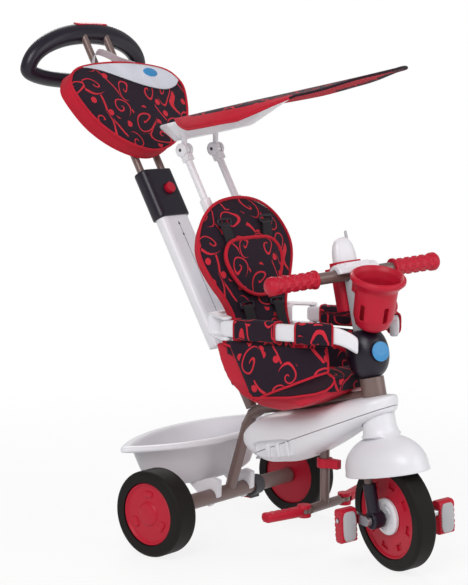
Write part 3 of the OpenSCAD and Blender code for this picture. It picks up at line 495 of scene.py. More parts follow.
def curls_and_dots(tree, uv):
    """A print of curled lines, long sweeping lines and round dots: 1 where there is ink."""
    curls_per_m = 17.0
    curl_r = 0.025
    turns_per_m = 52.0
    bare_r = 0.027
    dots_per_m = 40.0
    warp = add(tree, "TexNoise", noise_dimensions="2D", Scale=9.0, Detail=1.0, Vector=uv)
    push = vector_node(tree, "SUBTRACT", warp.outputs["Color"], (0.5, 0.5, 0.5))[0]
    push = vector_node(tree, "MULTIPLY", push, (0.07, 0.07, 0.0))[0]
    bent = vector_node(tree, "ADD", uv, push)[0]

    curl, chance = cells(tree, bent, curls_per_m, 0.7)
    away = vector_node(tree, "SUBTRACT", bent, curl["Position"])[0]
    part = add(tree, "SeparateXYZ", Vector=away).outputs
    reach = vector_node(tree, "LENGTH", away)["Value"]
    angle = calc(tree, "DIVIDE", calc(tree, "ARCTAN2", part[1], part[0]), 2 * math.pi)
    hand = calc(tree, "SIGN", calc(tree, "SUBTRACT", chance[1], 0.5))
    wound = calc(tree, "MULTIPLY_ADD", angle, hand, chance[0])
    wound = calc(tree, "FRACT", calc(tree, "MULTIPLY_ADD", reach, turns_per_m, wound))
    inked = calc(tree, "COMPARE", wound, 0.5, 0.085)
    curls = calc(tree, "MULTIPLY", inked, calc(tree, "LESS_THAN", reach, curl_r))
    bare = calc(tree, "GREATER_THAN", reach, bare_r)

    part = add(tree, "SeparateXYZ", Vector=bent).outputs
    slant = calc(tree, "MULTIPLY", part[1], 9.0)
    sweep = calc(tree, "FRACT", calc(tree, "MULTIPLY_ADD", part[0], 14.0, slant))
    sweep = calc(tree, "COMPARE", sweep, 0.5, 0.032)

    dot, chance = cells(tree, uv, dots_per_m, 0.8)
    small = calc(tree, "LESS_THAN", dot["Distance"], 0.27)
    dots = calc(tree, "MULTIPLY", small, calc(tree, "GREATER_THAN", chance[2], 0.62))
    loose = calc(tree, "MULTIPLY", bare, calc(tree, "MAXIMUM", sweep, dots))
    return calc(tree, "MAXIMUM", curls, loose)


def cloth(name, colour, yarn=0.0011, print_colour=None):
    """Woven cloth with painted shade in the weave's hollows, printed where a print colour is given."""
    mat, tree, bsdf = nodes_of(name)
    coords = add(tree, "TexCoord").outputs
    height, normal = woven(tree, coords["UV"], yarn)
    cloud = add(tree, "TexNoise", Scale=16.0, Detail=3.0, Vector=coords["Object"]).outputs[0]
    ground = mixed(tree, cloud, tint(colour, 0.85), tint(colour, 1.15))
    if print_colour:
        ground = mixed(tree, curls_and_dots(tree, coords["UV"]), ground, print_colour)
    # The base colour is darkened where the weave is low: painted shade between the yarns
    painted_weave_shade = calc(tree, "MULTIPLY_ADD", height, 0.16, 0.84)
    dress(tree, bsdf, {
        "Base Color": mixed(tree, 1.0, ground, painted_weave_shade, "MULTIPLY"),
        "Normal": normal,
        "Roughness": 0.9,
        "Specular IOR Level": 0.2,
        "Sheen Weight": 0.05,
        "Sheen Roughness": 0.5,
    })
    return mat


WHITE = moulded("white_plastic", srgb(226, 225, 230), 0.36, 0.15, mottle=0.02)
RED = moulded("red_plastic", srgb(184, 24, 48), 0.4, 0.03, gloss=0.25)
DARK = moulded("dark_plastic", srgb(26, 18, 34), 0.34, 0.06, gloss=0.35)
GREY = moulded("grey_plastic", srgb(176, 176, 180), 0.45)
BUSH = moulded("bush_plastic", srgb(60, 60, 64), 0.5)
PAINT = moulded("tube_paint", srgb(118, 98, 94), 0.38, 0.2, metal=0.25, mottle=0.05)
STEEL = moulded("bright_steel", srgb(190, 190, 194), 0.28, metal=1.0)
TYRE = moulded("tyre_rubber", srgb(20, 14, 13), 0.66, grain=500.0, depth=0.12, mottle=0.12, gloss=0.25)
PRINT = cloth("printed_cloth", srgb(38, 24, 38), print_colour=srgb(206, 42, 58))
LINING = cloth("dark_lining", srgb(44, 24, 34))
RED_CLOTH = cloth("red_cloth", srgb(192, 30, 50))
PALE_CLOTH = cloth("pale_cloth", srgb(214, 216, 226))
WEBBING = cloth("webbing", srgb(42, 40, 44), yarn=0.0022)
PALE_WEB = cloth("pale_webbing", srgb(206, 204, 210), yarn=0.0022)
BLUE = moulded("blue_plain", srgb(40, 132, 190), 0.35, 0.2)

# Each slot's material, and the slot that goes with each material
SLOT_MATS = {
    "white_plastic": WHITE, "red_plastic": RED, "dark_plastic": DARK, "grey_plastic": GREY,
    "bush_plastic": BUSH, "painted_tube": PAINT, "bright_steel": STEEL, "tyre": TYRE,
    "printed_cloth": PRINT, "red_cloth": RED_CLOTH, "webbing": WEBBING,
}
SLOT_OF = {mat.name: slot for slot, mat in SLOT_MATS.items()}
for mat, slot in ((LINING, "printed_cloth"), (PALE_CLOTH, "red_cloth"), (PALE_WEB, "webbing"),
                  (BLUE, "dark_plastic")):
    SLOT_OF[mat.name] = slot

for part in frame["record"]["subparts"]:
    mesh = NODES[part["node"]].data
    mesh.materials.clear()
    mesh.materials.append(SLOT_MATS[part["material_slot"]])
    mesh.polygons.foreach_set("material_index", [0] * len(mesh.polygons))

# Camera, floor and light

EYE = Vector((2125.305 - MID, -2475.426, 893.266)) * MM
BACKWARD = Vector((0.64406317, -0.7545143, 0.12605873))


def facing(place, backward):
    """A camera's or lamp's place, with its back turned one way."""
    return Matrix.Translation(place) @ backward.to_track_quat("Z", "Y").to_matrix().to_4x4()


camera = linked("camera", bpy.data.cameras.new("camera"))
bpy.context.scene.camera = camera
camera.data.sensor_fit = "VERTICAL"
camera.data.sensor_height = 36
camera.data.lens = 103.8
camera.data.clip_end = 100
camera.matrix_world = facing(EYE, BACKWARD)

FLOOR_HALF = 30
floor_mesh = bpy.data.meshes.new("floor")
corners = [(x * FLOOR_HALF, y * FLOOR_HALF, 0) for x, y in ((-1, -1), (1, -1), (1, 1), (-1, 1))]
floor_mesh.from_pydata(corners, [], [(0, 1, 2, 3)])
floor = linked("floor", floor_mesh)
floor.location.z = -0.0005

# The floor fades to the backdrop's white, and keeps the object's shadow near it
mat, tree, bsdf = nodes_of("floor_paint")
dress(tree, bsdf, {"Base Color": (0.86, 0.86, 0.86, 1), "Roughness": 0.9})
glow = add(tree, "Emission", Strength=1.0)
path = add(tree, "LightPath").outputs
seen = calc(tree, "MAXIMUM", path["Is Camera Ray"], path["Is Glossy Ray"])
away = vector_node(tree, "LENGTH", add(tree, "TexCoord").outputs["Object"])["Value"]
fade = add(tree, "MapRange", interpolation_type="SMOOTHSTEP", Value=away)
dress(tree, fade, {"From Min": 0.55, "From Max": 1.9, "To Min": 0.84, "To Max": 1.0})
blend = add(tree, "MixShader")
for socket, value in zip(blend.inputs, (calc(tree, "MULTIPLY", seen, fade.outputs[0]),
                                        bsdf.outputs[0], glow.outputs[0])):
    plug(tree, socket, value)
tree.links.new(blend.outputs[0], tree.nodes["Material Output"].inputs[0])
floor_mesh.materials.append(mat)

# The world is white to the eye, and lights the object with less than half of that
AMBIENT = 0.45
world = bpy.data.worlds.new("world")
bpy.context.scene.world = world
world.use_nodes = True
tree = world.node_tree
path = add(tree, "LightPath").outputs
seen = calc(tree, "MAXIMUM", path["Is Camera Ray"], path["Is Transmission Ray"])
strength = calc(tree, "MULTIPLY_ADD", seen, 1 - AMBIENT, AMBIENT)
dress(tree, tree.nodes["Background"], {"Color": (1, 1, 1, 1), "Strength": strength})
bpy.context.scene.view_settings.view_transform = "Standard"


def lamp(name, place, aim, size, power):
    """A square soft light, placed and aimed in metres."""
    data = bpy.data.lights.new(name, "AREA")
    data.energy = power
    data.size = size
    linked(name, data).matrix_world = facing(place, Vector(place) - Vector(aim))


lamp("key", (1.2, -2.6, 2.6), (0, 0, 0.45), 1.8, 62)
lamp("fill", (2.8, 0.6, 1.6), (0, 0, 0.45), 2.2, 26)
lamp("rim", (-2.2, 1.6, 2.4), (0, 0, 0.6), 1.6, 34)


# Wheels

def on_arc(r, deg, y):
    """A point on a disc, by its radius, angle and place along the axle."""
    return (r * math.cos(math.radians(deg)), y, r * math.sin(math.radians(deg)))


def arc_bar(r, width, a0, a1, y0, y1, n=14):
    """A raised bar along an arc on a disc's outer face, with rounded ends and shoulders."""
    rings = []
    for k, a in enumerate(np.linspace(a0, a1, n)):
        s = 0.55 if k in (0, n - 1) else (0.9 if k in (1, n - 2) else 1.0)
        h = width / 2 * s
        top = y0 + (y1 - y0) * s
        shoulder = top * 0.6 + y0 * 0.4
        section = ((-h, y0), (-h, shoulder), (-h * 0.7, top), (h * 0.7, top), (h, shoulder), (h, y0))
        rings.append([on_arc(r + d, a, y) for d, y in section])
    return loft(rings)


def arc_slots(count, first, last, steps, inner, outer, y0, y1):
    """Curved slots to cut into both faces of the front wheel, spread evenly round it."""
    slots = []
    for i in range(count):
        for side in (-1, 1):
            turned = i * 360 / count
            rings = []
            for a in np.linspace(turned + first, turned + last, steps):
                section = ((inner, y1), (outer, y1), (outer, y0), (inner, y0))
                rings.append([on_arc(r, a, side * y) for r, y in section])
            slots.append(loft(rings))
    return (*joined(*slots), STEERED)


# The rear disc's profile, from the inner face to the outer one at y = -w
w = REAR_W / 2
REAR_DISC = [(0, w - 3), (56, w - 3), (59.7, w - 4), (59.7, 4 - w), (58.6, 2.5 - w), (57, 2 - w),
             (55.4, 2.6 - w), (54.6, 4.5 - w), (53, 6 - w), (50, 6.4 - w), (46, 6 - w), (28, 5.2 - w),
             (24, 5.4 - w), (22.4, 4.6 - w), (21.6, 3 - w), (20, 2 - w), (17, 1.6 - w), (0, 1.4 - w)]
for side, name in SIDES:
    place = TRIKE @ shift(0, side * (TRACK - REAR_W) / 2, REAR_R) @ Matrix.Diagonal((1, -side, 1, 1))
    bars = [arc_bar(38, 11, a, a + 30, 6 - w, 2.6 - w) for a in (75, 195, 315)]
    disc = joined(revolve(REAR_DISC), *bars)
    obj = piece("rear_disc_" + name, *disc, place, "rear_wheel_" + name, RED)
    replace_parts(by_angle(obj, 50), "rear_hub_" + name)

w = FRONT_W / 2
FRONT_DISC = [(0, w - 6), (34, w - 6), (36, w - 6), (73, w - 6), (74.6, w - 4), (76, w - 2.4),
              (78.5, w - 2.6), (79.7, w - 4)]
disc = revolve(FRONT_DISC + [(r, -y) for r, y in reversed(FRONT_DISC)])
disc = piece("front_disc", *disc, STEERED, "front_wheel", RED)
cut(disc, arc_slots(8, 10, 28, 7, 54, 66, w - 9.5, w))
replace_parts(by_angle(disc, 40), "front_hub")

HUB_COVER = [(33.9, w - 4.8), (33.9, w), (32, w + 2.2), (28, w + 3), (15, w + 3), (13, w + 1.5),
             (7, w + 1.5), (6.3, w - 4.8)]
covers = [revolve([(r, side * y) for r, y in HUB_COVER], 72, hoop=True) for side in (-1, 1)]
covers = piece("hub_covers", *joined(*covers), STEERED, "front_wheel", WHITE)
cut(covers, arc_slots(4, 20, 70, 8, 19, 25, w + 1, w + 5))
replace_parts(by_angle(covers, 40), "hub_caps")

# Mouldings that keep the CAD solid's form: node, size of a voxel and rounds of smoothing
for node, voxel, rounds in (
        ("seat_shell", 2.6, 10), ("back_shell", 2.2, 5), ("canopy_base", 2.0, 12), ("handle_collar", 1.8, 8),
        ("collar_button", 0.8, 6), ("handle_button", 1.0, 6), ("brake_lever", 1.4, 5),
        ("footrest_lock", 1.2, 6), ("peg_right", 1.2, 6), ("peg_left", 1.2, 6), ("clamp_cover", 1.2, 10),
        ("basket", 1.1, 6), ("phone_cradle", 1.1, 6), ("side_knob", 1.2, 6), ("pedal_right", 1.1, 5),
        ("pedal_left", 1.1, 5), ("fork_sleeves", 1.2, 6), ("stem_column", 1.6, 6)):
    soften(node, voxel, rounds)

# The height button's bore in the collar stays open for its whole travel
BORE_R = 11.6
BORE_AT = (0, 8, CASING_LEN + 58.1)
casing_front = CASING_D / 2
bore = revolve_x([(BORE_R, casing_front - 7), (BORE_R, casing_front + 20)], 48, BORE_AT)
collar = bpy.data.objects["handle_collar_moulding"]
by_angle(cut(collar, (*bore, STEM)), 40)

# The brake lever's hub is grey round the axle
BRAKE_HUB_R = 26
lever = bpy.data.objects["brake_lever_moulding"]
lever.data.materials.append(BUSH)
for face in lever.data.polygons:
    at = lever.matrix_world @ face.center / MM
    face.material_index = int(math.hypot(at.x + MID, at.z - REAR_R) < BRAKE_HUB_R)


# Small parts: knuckle caps and screws, painted shade in the casing's groove and holes, and the pedals'
# reflectors

def on_knuckles(profile):
    """A small turned part on both faces of both canopy knuckles."""
    parts = []
    for side in (-1, 1):
        for face in (-1, 1):
            v, f = revolve(profile, 48)
            parts.append((v * (1, face, 1) + (KNUCKLE_X, side * POLE_Y + face * 9, KNUCKLE_Z), f))
    return joined(*parts)


KNUCKLE_CAP = [(0, 0), (13.4, 0), (13.4, 1.6), (12, 2.8), (5, 3.4), (0, 3.4)]
KNUCKLE_SCREW = [(0, 3), (3.4, 3), (3.2, 4), (0, 4.2)]
by_angle(piece("knuckle_caps", *on_knuckles(KNUCKLE_CAP), TRIKE, "frame", WHITE), 40)
piece("knuckle_screws", *on_knuckles(KNUCKLE_SCREW), TRIKE, "frame", BUSH)

# Dark strips and discs sit inside the casing's groove and holes: painted shade that darkens these recesses
SLOT_HALF = 0.9
HOLE_SHADE_R = 2.9
groove_shade_section = [(casing_front - 1.8, -SLOT_HALF), (casing_front - 0.7, -SLOT_HALF),
                (casing_front - 0.7, SLOT_HALF), (casing_front - 1.8, SLOT_HALF)]
groove_shade = stacked(groove_shade_section, ((13, 1), (CASING_LEN - 13, 1)))
hole_shade_profile = [(0, casing_front - 4.8), (HOLE_SHADE_R, casing_front - 4.8),
                (HOLE_SHADE_R, casing_front - 1.6), (0, casing_front - 1.6)]
hole_shades = [revolve_x(hole_shade_profile, 32, (0, 0, z)) for z in (30, CASING_LEN - 42, CASING_LEN - 18)]
piece("casing_groove_painted_shade", *joined(groove_shade, *hole_shades), STEM, "frame", BUSH, smooth=False)

REFLECTOR_HALF = (14, 28)
REFLECTOR_ROWS = ((10.5, 0.96), (12.6, 1), (13.8, 0.97), (14.4, 0.88))
outline = superellipse(40, 4) * REFLECTOR_HALF
for name in ("pedal_right", "pedal_left"):
    low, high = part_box(name)
    place = Matrix.Translation((low + high) / 2 / MM) @ (STEERED @ turn("Y", RAKE)).to_3x3().to_4x4()
    plates = [stacked(outline, [(face * x, k) for x, k in REFLECTOR_ROWS], 0) for face in (-1, 1)]
    by_angle(piece(name + "_reflectors", *joined(*plates), place, name, GREY), 50)


# Body fairing

def eased(x, points):
    """A smooth line through points without overshoot, from averaged straight runs."""
    return np.mean([through(x + d, points) for d in np.linspace(-9, 9, 7)], 0)


HEAD_X = WHEELBASE - (HEAD_LOW + HEAD_LEN / 2) * math.sin(math.radians(RAKE))
TAIL_X = 74
NOSE_R = 44
FAIRING_TOP = [(66, 214), (80, 230), (98, 247), (129, 261), (220, 280), (324, 312), (391, 327), (410, 328)]
FAIRING_LOW = [(66, 208), (80, 192), (94, 176), (129, 164), (190, 174), (221, 187), (270, 216), (343, 266),
               (391, 291), (410, 296)]
tail_xs = TAIL_X + 26 * np.linspace(0, 1, 9) ** 1.6
nose_xs = HEAD_X + NOSE_R * np.sin(np.linspace(0, 0.494 * math.pi, 12))
xs = np.concatenate([tail_xs, np.linspace(106, 344, 34), nose_xs])
top = eased(xs, FAIRING_TOP)
low = eased(xs, FAIRING_LOW)
end = np.clip((xs - TAIL_X) / 14, 0, 1) ** 0.5
nose = np.sqrt(np.clip(1 - (np.clip(xs - HEAD_X, 0, NOSE_R) / NOSE_R) ** 2, 0, 1))
wide = np.interp(xs, [TAIL_X, 84, 104, 230, HEAD_X], [44, 56, 60, 56, NOSE_R]) * nose
tall = (top - low) / 2 * (0.25 + 0.75 * end) * (0.72 + 0.28 * nose)
shape = superellipse(64, 3.0)
rings = [np.column_stack([np.full(64, x), shape * (y, z) + (0, m)])
         for x, y, z, m in zip(xs, wide, tall, (top + low) / 2)]
fairing = piece("body_fairing", *loft(rings), TRIKE, "frame", WHITE)

SEAM = TRIKE @ shift(79, 0, SEAM_Z) @ Matrix.Rotation(-math.atan2(SEAM_RISE, SEAM_RUN), 4, "Y")
slit = stacked([(-300, -200), (500, -200), (500, 200), (-300, 200)], ((-0.6, 1), (0.6, 1)))
POCKET = TRIKE @ shift(157, 0, 196) @ turn("Y", -12)
POCKET_ROWS = ((51, 0.8), (54.5, 0.94), (70, 1.2))
recess = superellipse(32, 5) * (46, 21)
pockets = [(*stacked(recess, [(side * y, (1, k)) for y, k in POCKET_ROWS], 1), POCKET) for side in (-1, 1)]
NECK_R = 33
HEAD_TUBE_R = 23.2
cut(fairing, (*rod(NECK_R, 60, 192, 48), HEADED), (*rod(HEAD_TUBE_R, 60, 300, 48), HEADED), *pockets,
    (*slit, SEAM))
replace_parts(by_angle(fairing, 38), "body_shell_upper", "body_shell_lower")

RIB_ROWS = ((48, 1.0), (52, 1.0), (54, 0.92), (55, 0.7))
rib = superellipse(20, 3) * (5.5, 15)
ribs = []
for side in (-1, 1):
    v, f = stacked(rib, [(side * y, k) for y, k in RIB_ROWS], 1)
    ribs += [(v + (x, 0, 0), f) for x in (-16, 8, 32)]
piece("body_ribs", *joined(*ribs), POCKET, "frame", WHITE)


# Mudguard

def dome(u, v, h, to):
    """Rows of a dome above the mudguard's rim, up to an angle."""
    return [(u * math.cos(a), v * math.cos(a), 88 + h * math.sin(a)) for a in np.linspace(0, to, 14)]


GUARD_LIP = [(100, 59, 78), (102.4, 61.4, 77.4), (103.4, 62.4, 79), (103, 62, 82)]
GUARD_NECK = [(38, 36.5, 147.5), (34, 33.6, 151), (32, 32, 157), (31, 31, 166), (31, 31, 180),
              (31.4, 31.4, 186), (30.6, 30.6, 189.4), (28, 28, 190)]
GUARD_BORE = [(13, 13, 190), (13, 13, 178), (25, 25, 177), (25, 25, 147)]
rows = GUARD_LIP + dome(102, 61, 62, 1.12) + GUARD_NECK + GUARD_BORE
rows += dome(99, 58, 59, 1.2)[::-1] + [(99, 58, 79)]
guard = piece("mudguard", *loft(ovals(rows), hoop=True), STEERED, "front_end", WHITE)
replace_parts(by_angle(guard, 60), "fender")


# Bucket

FRONT_ARC_X = -325.1
FRONT_ARC_R = 337.1
REAR_ARC_X = 229.6
REAR_ARC_R = 384.6
BUCKET_HALF = 229.9


def lens(inset, n=160):
    """The bucket's pointed oval between two arcs, drawn in by some mm, with softly rounded tips."""
    rf = FRONT_ARC_R - inset
    rb = REAR_ARC_R - inset
    ys = np.linspace(0, BUCKET_HALF, 4000)
    fx = FRONT_ARC_X + np.sqrt(np.clip(rf ** 2 - ys ** 2, 0, None))
    bx = REAR_ARC_X - np.sqrt(np.clip(rb ** 2 - ys ** 2, 0, None))
    tip = ys[np.argmax(fx < bx)]
    y = np.linspace(-tip, tip, 300)
    f = np.stack([FRONT_ARC_X + np.sqrt(rf ** 2 - y ** 2), y], 1)
    b = np.stack([REAR_ARC_X - np.sqrt(rb ** 2 - y ** 2), y], 1)[::-1]
    p = even(np.vstack([f, b[1:-1]]), n)
    for _ in range(6):
        p = 0.5 * p + 0.25 * (np.roll(p, 1, 0) + np.roll(p, -1, 0))
    return p


# Rows of inset and height: up the outside, over the rim and down the inside
BUCKET_ROWS = [(58, 105), (45, 105.6), (42, 108.5), (40, 114), (29.5, 149), (19.5, 183), (17, 186.5),
               (10, 187), (4, 185.5), (1.4, 186.2), (0.3, 189), (0.6, 192.5), (3, 195.6), (8, 197),
               (14, 197), (18.5, 195.6), (21, 192), (22.5, 187), (32.5, 150), (43, 114), (46, 109.6),
               (60, 108)]
rings = [np.column_stack([lens(i), np.full(160, z)]) for i, z in BUCKET_ROWS]
bucket = piece("bucket_moulding", *loft(rings), TRIKE, "frame", WHITE)
LEG_OUTLINE = [(-62, 106), (-26, 78), (-14, 63), (-4, 61), (18, 84), (19, 116), (0, 120), (-36, 107)]
LEG_ROWS = ((-7, 0.93), (-5.5, 1), (5.5, 1), (7, 0.93))
LEG_Y = 50
AXLE_HOLE_R = 15.2
foot = even(LEG_OUTLINE, 48)
middle = foot.mean(0)
v, f = stacked(foot - middle, LEG_ROWS, 1)
legs = [(v + (middle[0], side * LEG_Y, middle[1]), f) for side in (-1, 1)]
legs = piece("bucket_legs", *joined(*legs), TRIKE, "frame", WHITE)
axle = revolve([(AXLE_HOLE_R, -90), (AXLE_HOLE_R, 90)], 48)
by_angle(cut(legs, (*axle, TRIKE @ shift(0, 0, REAR_R))), 40)
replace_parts(by_angle(bucket, 60), "bucket")

# Push handle's ring: a tube that thickens to the top, with a recess for the press strip

RING = TRIKE @ shift(-392.93, 0, 912) @ turn("Y", 10.6)
RING_HALF = 158
RING_UP = 74
RING_DOWN = 25
RING_R = 16
RING_TOP_R = 22
PRESS_HALF = (9.7, 44.9)
a = around(144)
k = around(28)
rise = np.where(np.sin(a) > 0, RING_UP, RING_DOWN)
thick = RING_R + (RING_TOP_R - RING_R) * np.clip(np.sin(a), 0, 1) ** 2
outward = np.stack([rise * np.cos(a), RING_HALF * np.sin(a)], 1)
outward /= np.linalg.norm(outward, axis=1)[:, None]
spine = np.stack([RING_HALF * np.cos(a), rise * np.sin(a)], 1)
rings = [np.column_stack([r * np.sin(k), p + o * r * np.cos(k)[:, None]])
         for p, o, r in zip(spine, outward, thick)]
ring = piece("ring_handle", *loft(rings, hoop=True), RING, "push_handle", DARK)
pill = superellipse(120, 6) * PRESS_HALF
strip = stacked(pill, ((RING_UP + 12, 1), (RING_UP + 40, 1)))
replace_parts(by_angle(cut(ring, (*strip, RING)), 45), "handle_ring")


# Handlebar grips, toy phone and the disc on the steering head

GRIP_COLLAR = 5
GRIP_FLANGE = 20
GRIP_CAP = 7
BUMPS_ROUND = 7
BUMP_PITCH = 17


def grip_radius(y, y0, y1, a):
    """The grip's radius round it at a place between its ends: collar, bumps, flange and domed cap."""
    if y == y0:
        return np.full(len(a), 11.2)
    if y <= y0 + GRIP_COLLAR:
        return np.full(len(a), 17.0 if y <= y0 + 0.1 or y >= y0 + GRIP_COLLAR else 17.6)
    if y < y1 - GRIP_FLANGE:
        bumps = np.cos(BUMPS_ROUND * a) * math.cos(2 * math.pi * (y - y0 - 7) / BUMP_PITCH)
        return 14.4 + 1.9 * np.clip(bumps * 1.5, 0, 1)
    if y < y1 - GRIP_CAP:
        return np.full(len(a), 17.4 if y1 - 18 < y < y1 - 8 else 16.8)
    return np.full(len(a), 15.5 * math.sqrt(max(0.0, 1 - ((y - y1 + GRIP_CAP) / GRIP_CAP) ** 2)))


y1 = BAR_LEN / 2
y0 = y1 - GRIP_LEN
stations = np.concatenate([
    [y0, y0 + 0.1, y0 + 0.8, y0 + 4, y0 + 5, y0 + 5.6],
    np.linspace(y0 + 7, y1 - 21, 84),
    [y1 - 19, y1 - 18.4, y1 - 17, y1 - 9, y1 - 7.6, y1 - 7],
    y1 - GRIP_CAP + GRIP_CAP * np.sin(np.linspace(0.1, 1.55, 7))])
a = around(72)
grips = []
for side in (-1, 1):
    rings = []
    for y in stations:
        r = grip_radius(y, y0, y1, a)
        rings.append(np.stack([r * np.cos(a), np.full(72, side * y), r * np.sin(a)], 1))
    grips.append(loft(rings))
grips = piece("grip_mouldings", *joined(*grips), STEERED @ shift(0, 0, BAR_UP), "front_end", RED)
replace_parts(by_angle(grips, 55), "grips")

PHONE = STEERED @ shift(*PHONE_AT)
PHONE_ROWS = [(0, 0.86), (1.2, 0.97), (4, 1), (84, 1), (92, 1), (102, 0.97), (111, 0.91), (119, 0.81),
              (126, 0.66), (130.4, 0.46), (132.6, 0.2), (133, 0.06)]
AERIAL_ROWS = [(108, 3), (128, 3), (138, 2.7), (143, 2.4), (144, 1.0)]
handset = stacked(superellipse(56, 3.2) * PHONE_HALF, PHONE_ROWS)
phone = piece("toy_handset", *handset, PHONE, "toy_phone", WHITE)
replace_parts(by_angle(phone, 60), "toy_phone")
aerial = tube([(0, 12, z) for z, r in AERIAL_ROWS], [r for z, r in AERIAL_ROWS], 14)
piece("phone_aerial", *aerial, PHONE, "toy_phone", GREY)

HEAD_DISC = [(0, 0), (18.2, 0), (18.2, 1.2), (17.4, 1.8), (16.6, 1.4), (15.8, 1.6), (9, 2.3), (0, 2.5)]
place = STEERED @ shift(BULB_R + 2, 0, BULB_LOW + BULB_H / 2) @ turn("Z", -90)
piece("head_disc", *revolve(HEAD_DISC, 64), place, "front_end", BLUE)


# Safety arms and their sleeves

ARM = [(104, 130, 0), (150, 130, 1.6), (210, 129.6, 4), (262, 128, 6), (292, 119, 7), (314, 106, 7),
       (330, 89, 3), (341, 71, -6), (349, 57, -16)]
ARM_PIN_R = 4.05
SLEEVE_RUNS = ((6, 26), (35, 48))
arm_line = even(line(ARM, 8), 60, closed=False)
arm_shape = superellipse(40, 4.2)


def wrap(path, grow=0.0, tapered=False):
    """Rounded-box sections of an arm along a path, grown by some mm."""
    p = np.asarray(path, float)
    grown = np.broadcast_to(grow, (len(p),))
    ends = {0: 0.8, 1: 0.96, len(p) - 2: 0.96, len(p) - 1: 0.8} if tapered else {}
    up = np.array([0, 0, 1])
    rings = []
    for i, (q, d) in enumerate(zip(p, np.gradient(p, axis=0))):
        side = np.array([-d[1], d[0], 0]) / np.hypot(d[0], d[1])
        across = arm_shape[:, :1] * (ARM_T / 2 + grown[i]) * side
        upright = arm_shape[:, 1:] * (ARM_H / 2 + grown[i]) * up
        rings.append(q + (0, 0, ARM_Z) + ends.get(i, 1.0) * (across + upright))
    return rings


for side, name in SIDES:
    place = mirror(side)
    body = "arm_" + name
    whole = arm_line if side < 0 else arm_line[:54]
    tip = whole[-1] + (whole[-1] - whole[-2]) * 0.3
    rings = wrap(np.vstack([arm_line[0] - (7, 0, 0), whole, tip]), tapered=True)
    arm = piece("arm_moulding_" + name, *loft(rings), place, body, WHITE)
    cut(arm, (*rod(ARM_PIN_R, 380, 480), place @ shift(ARM[0][0], ARM[0][1], 0)))
    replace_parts(by_angle(arm, 45), "arm_" + name)
    sleeves, pipes, uvs = [], [], []
    for first, last in SLEEVE_RUNS:
        run = arm_line[first:last + 1]
        fat = 3.4 + 0.9 * np.sin(math.pi * np.arange(len(run)) / (last - first))
        inner = wrap(run, 0.6)
        sleeves.append(loft(wrap(run, fat) + [inner[-1], inner[0]], hoop=True))
        m = len(arm_shape)
        reach = np.linalg.norm(run - run[0], axis=1)
        reach = np.repeat(np.concatenate([reach, [reach[-1], 0]]), m)
        girth = np.tile(((np.arange(m) + m / 2) % m - m / 2) * 2.4, len(run) + 2)
        uvs.append(np.column_stack([reach + first * 9 + side * 37, girth]))
        edges = wrap(run, fat - 0.2)
        pipes += [tube(edge, 1.9, 8, closed=True) for edge in (edges[0], edges[-1])]
    cover = piece("arm_sleeves_" + name, *joined(*sleeves), place, body, PRINT, uv=np.vstack(uvs))
    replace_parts(cover, "sleeves_" + name)
    pipes = joined(*pipes)
    piece("sleeve_piping_" + name, *pipes, place, body, RED_CLOTH, uv=np.zeros((len(pipes[0]), 2)))


# Stuffed pads

CHANNEL_HALF = 9
STITCH_HALF = 3.5


def pillow(name, node, outline, centre, base, thick, crown, place, body, edge=RED_CLOTH, channels=(),
           deep=0.0, rings=12, sides=6, waist=0.02, cap=9.0, press=3.5, foot=1.0):
    """A stuffed pad that stands for a node: a flat back, drawn-in sides and a front that pressure fills."""
    n = len(outline)
    c = np.asarray(centre, float)
    o = np.asarray(outline, float)
    rows = [(s * foot, np.zeros(n)) for s in (0.25, 0.55, 0.8, 0.93)]
    back = len(rows)
    seam = back + sides
    for k in range(sides + 1):
        t = k / sides
        scale = foot + (1 - foot) * t - waist * math.sin(math.pi * t) - (0.012 if k in (0, sides) else 0)
        rows.append((scale, np.full(n, thick * t)))
    for k in range(1, rings):
        s = 1 - k / rings
        y = (c + (o - c) * s)[:, 1]
        dips = [np.clip(1 - np.abs(y - q) / CHANNEL_HALF, 0, 1) for q in channels]
        dips = np.max([np.zeros(n)] + dips, 0)
        rows.append((s, thick + crown * (1 - s ** 3) - deep * (1 - s ** 6) * dips))
    middles = [(c[0], c[1], 0), (c[0], c[1], thick + crown)]
    pts = np.vstack([np.column_stack([c + (o - c) * s, h]) for s, h in rows] + [middles])
    faces, marks = [], []
    for k in range(len(rows) - 1):
        for i in range(n):
            j = (i + 1) % n
            faces.append((k * n + i, k * n + j, (k + 1) * n + j, (k + 1) * n + i))
            marks.append(1 if k < seam else 0)
    last = len(rows) * n
    faces += [((i + 1) % n, i, last) for i in range(n)]
    faces += [(last - n + i, last - n + (i + 1) % n, last + 1) for i in range(n)]
    marks += [1] * n + [0] * n
    index = np.arange(len(pts))
    uv = pts[:, :2] + np.column_stack([np.zeros(len(pts)), np.where(index < 9 * n, pts[:, 2], 0)])
    turned = pts[:, [2, 0, 1]] + (base, 0, 0)
    obj = piece(name, turned, faces, place, body, [PRINT, edge], uv=uv, marks=marks)
    fixed = (index < (back + 1) * n) | (index == last)
    fixed |= (index >= seam * n) & (index < (seam + 1) * n)
    front = index >= (seam + 1) * n
    for q in channels:
        fixed |= front & (np.abs(pts[:, 1] - q) < STITCH_HALF)
    inflate(obj, np.where(fixed)[0], cap, press)
    mod = obj.modifiers.new("sub", "SUBSURF")
    mod.levels = 1
    mod.render_levels = 1
    shade(bake(obj))
    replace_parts(obj, node)
    return obj


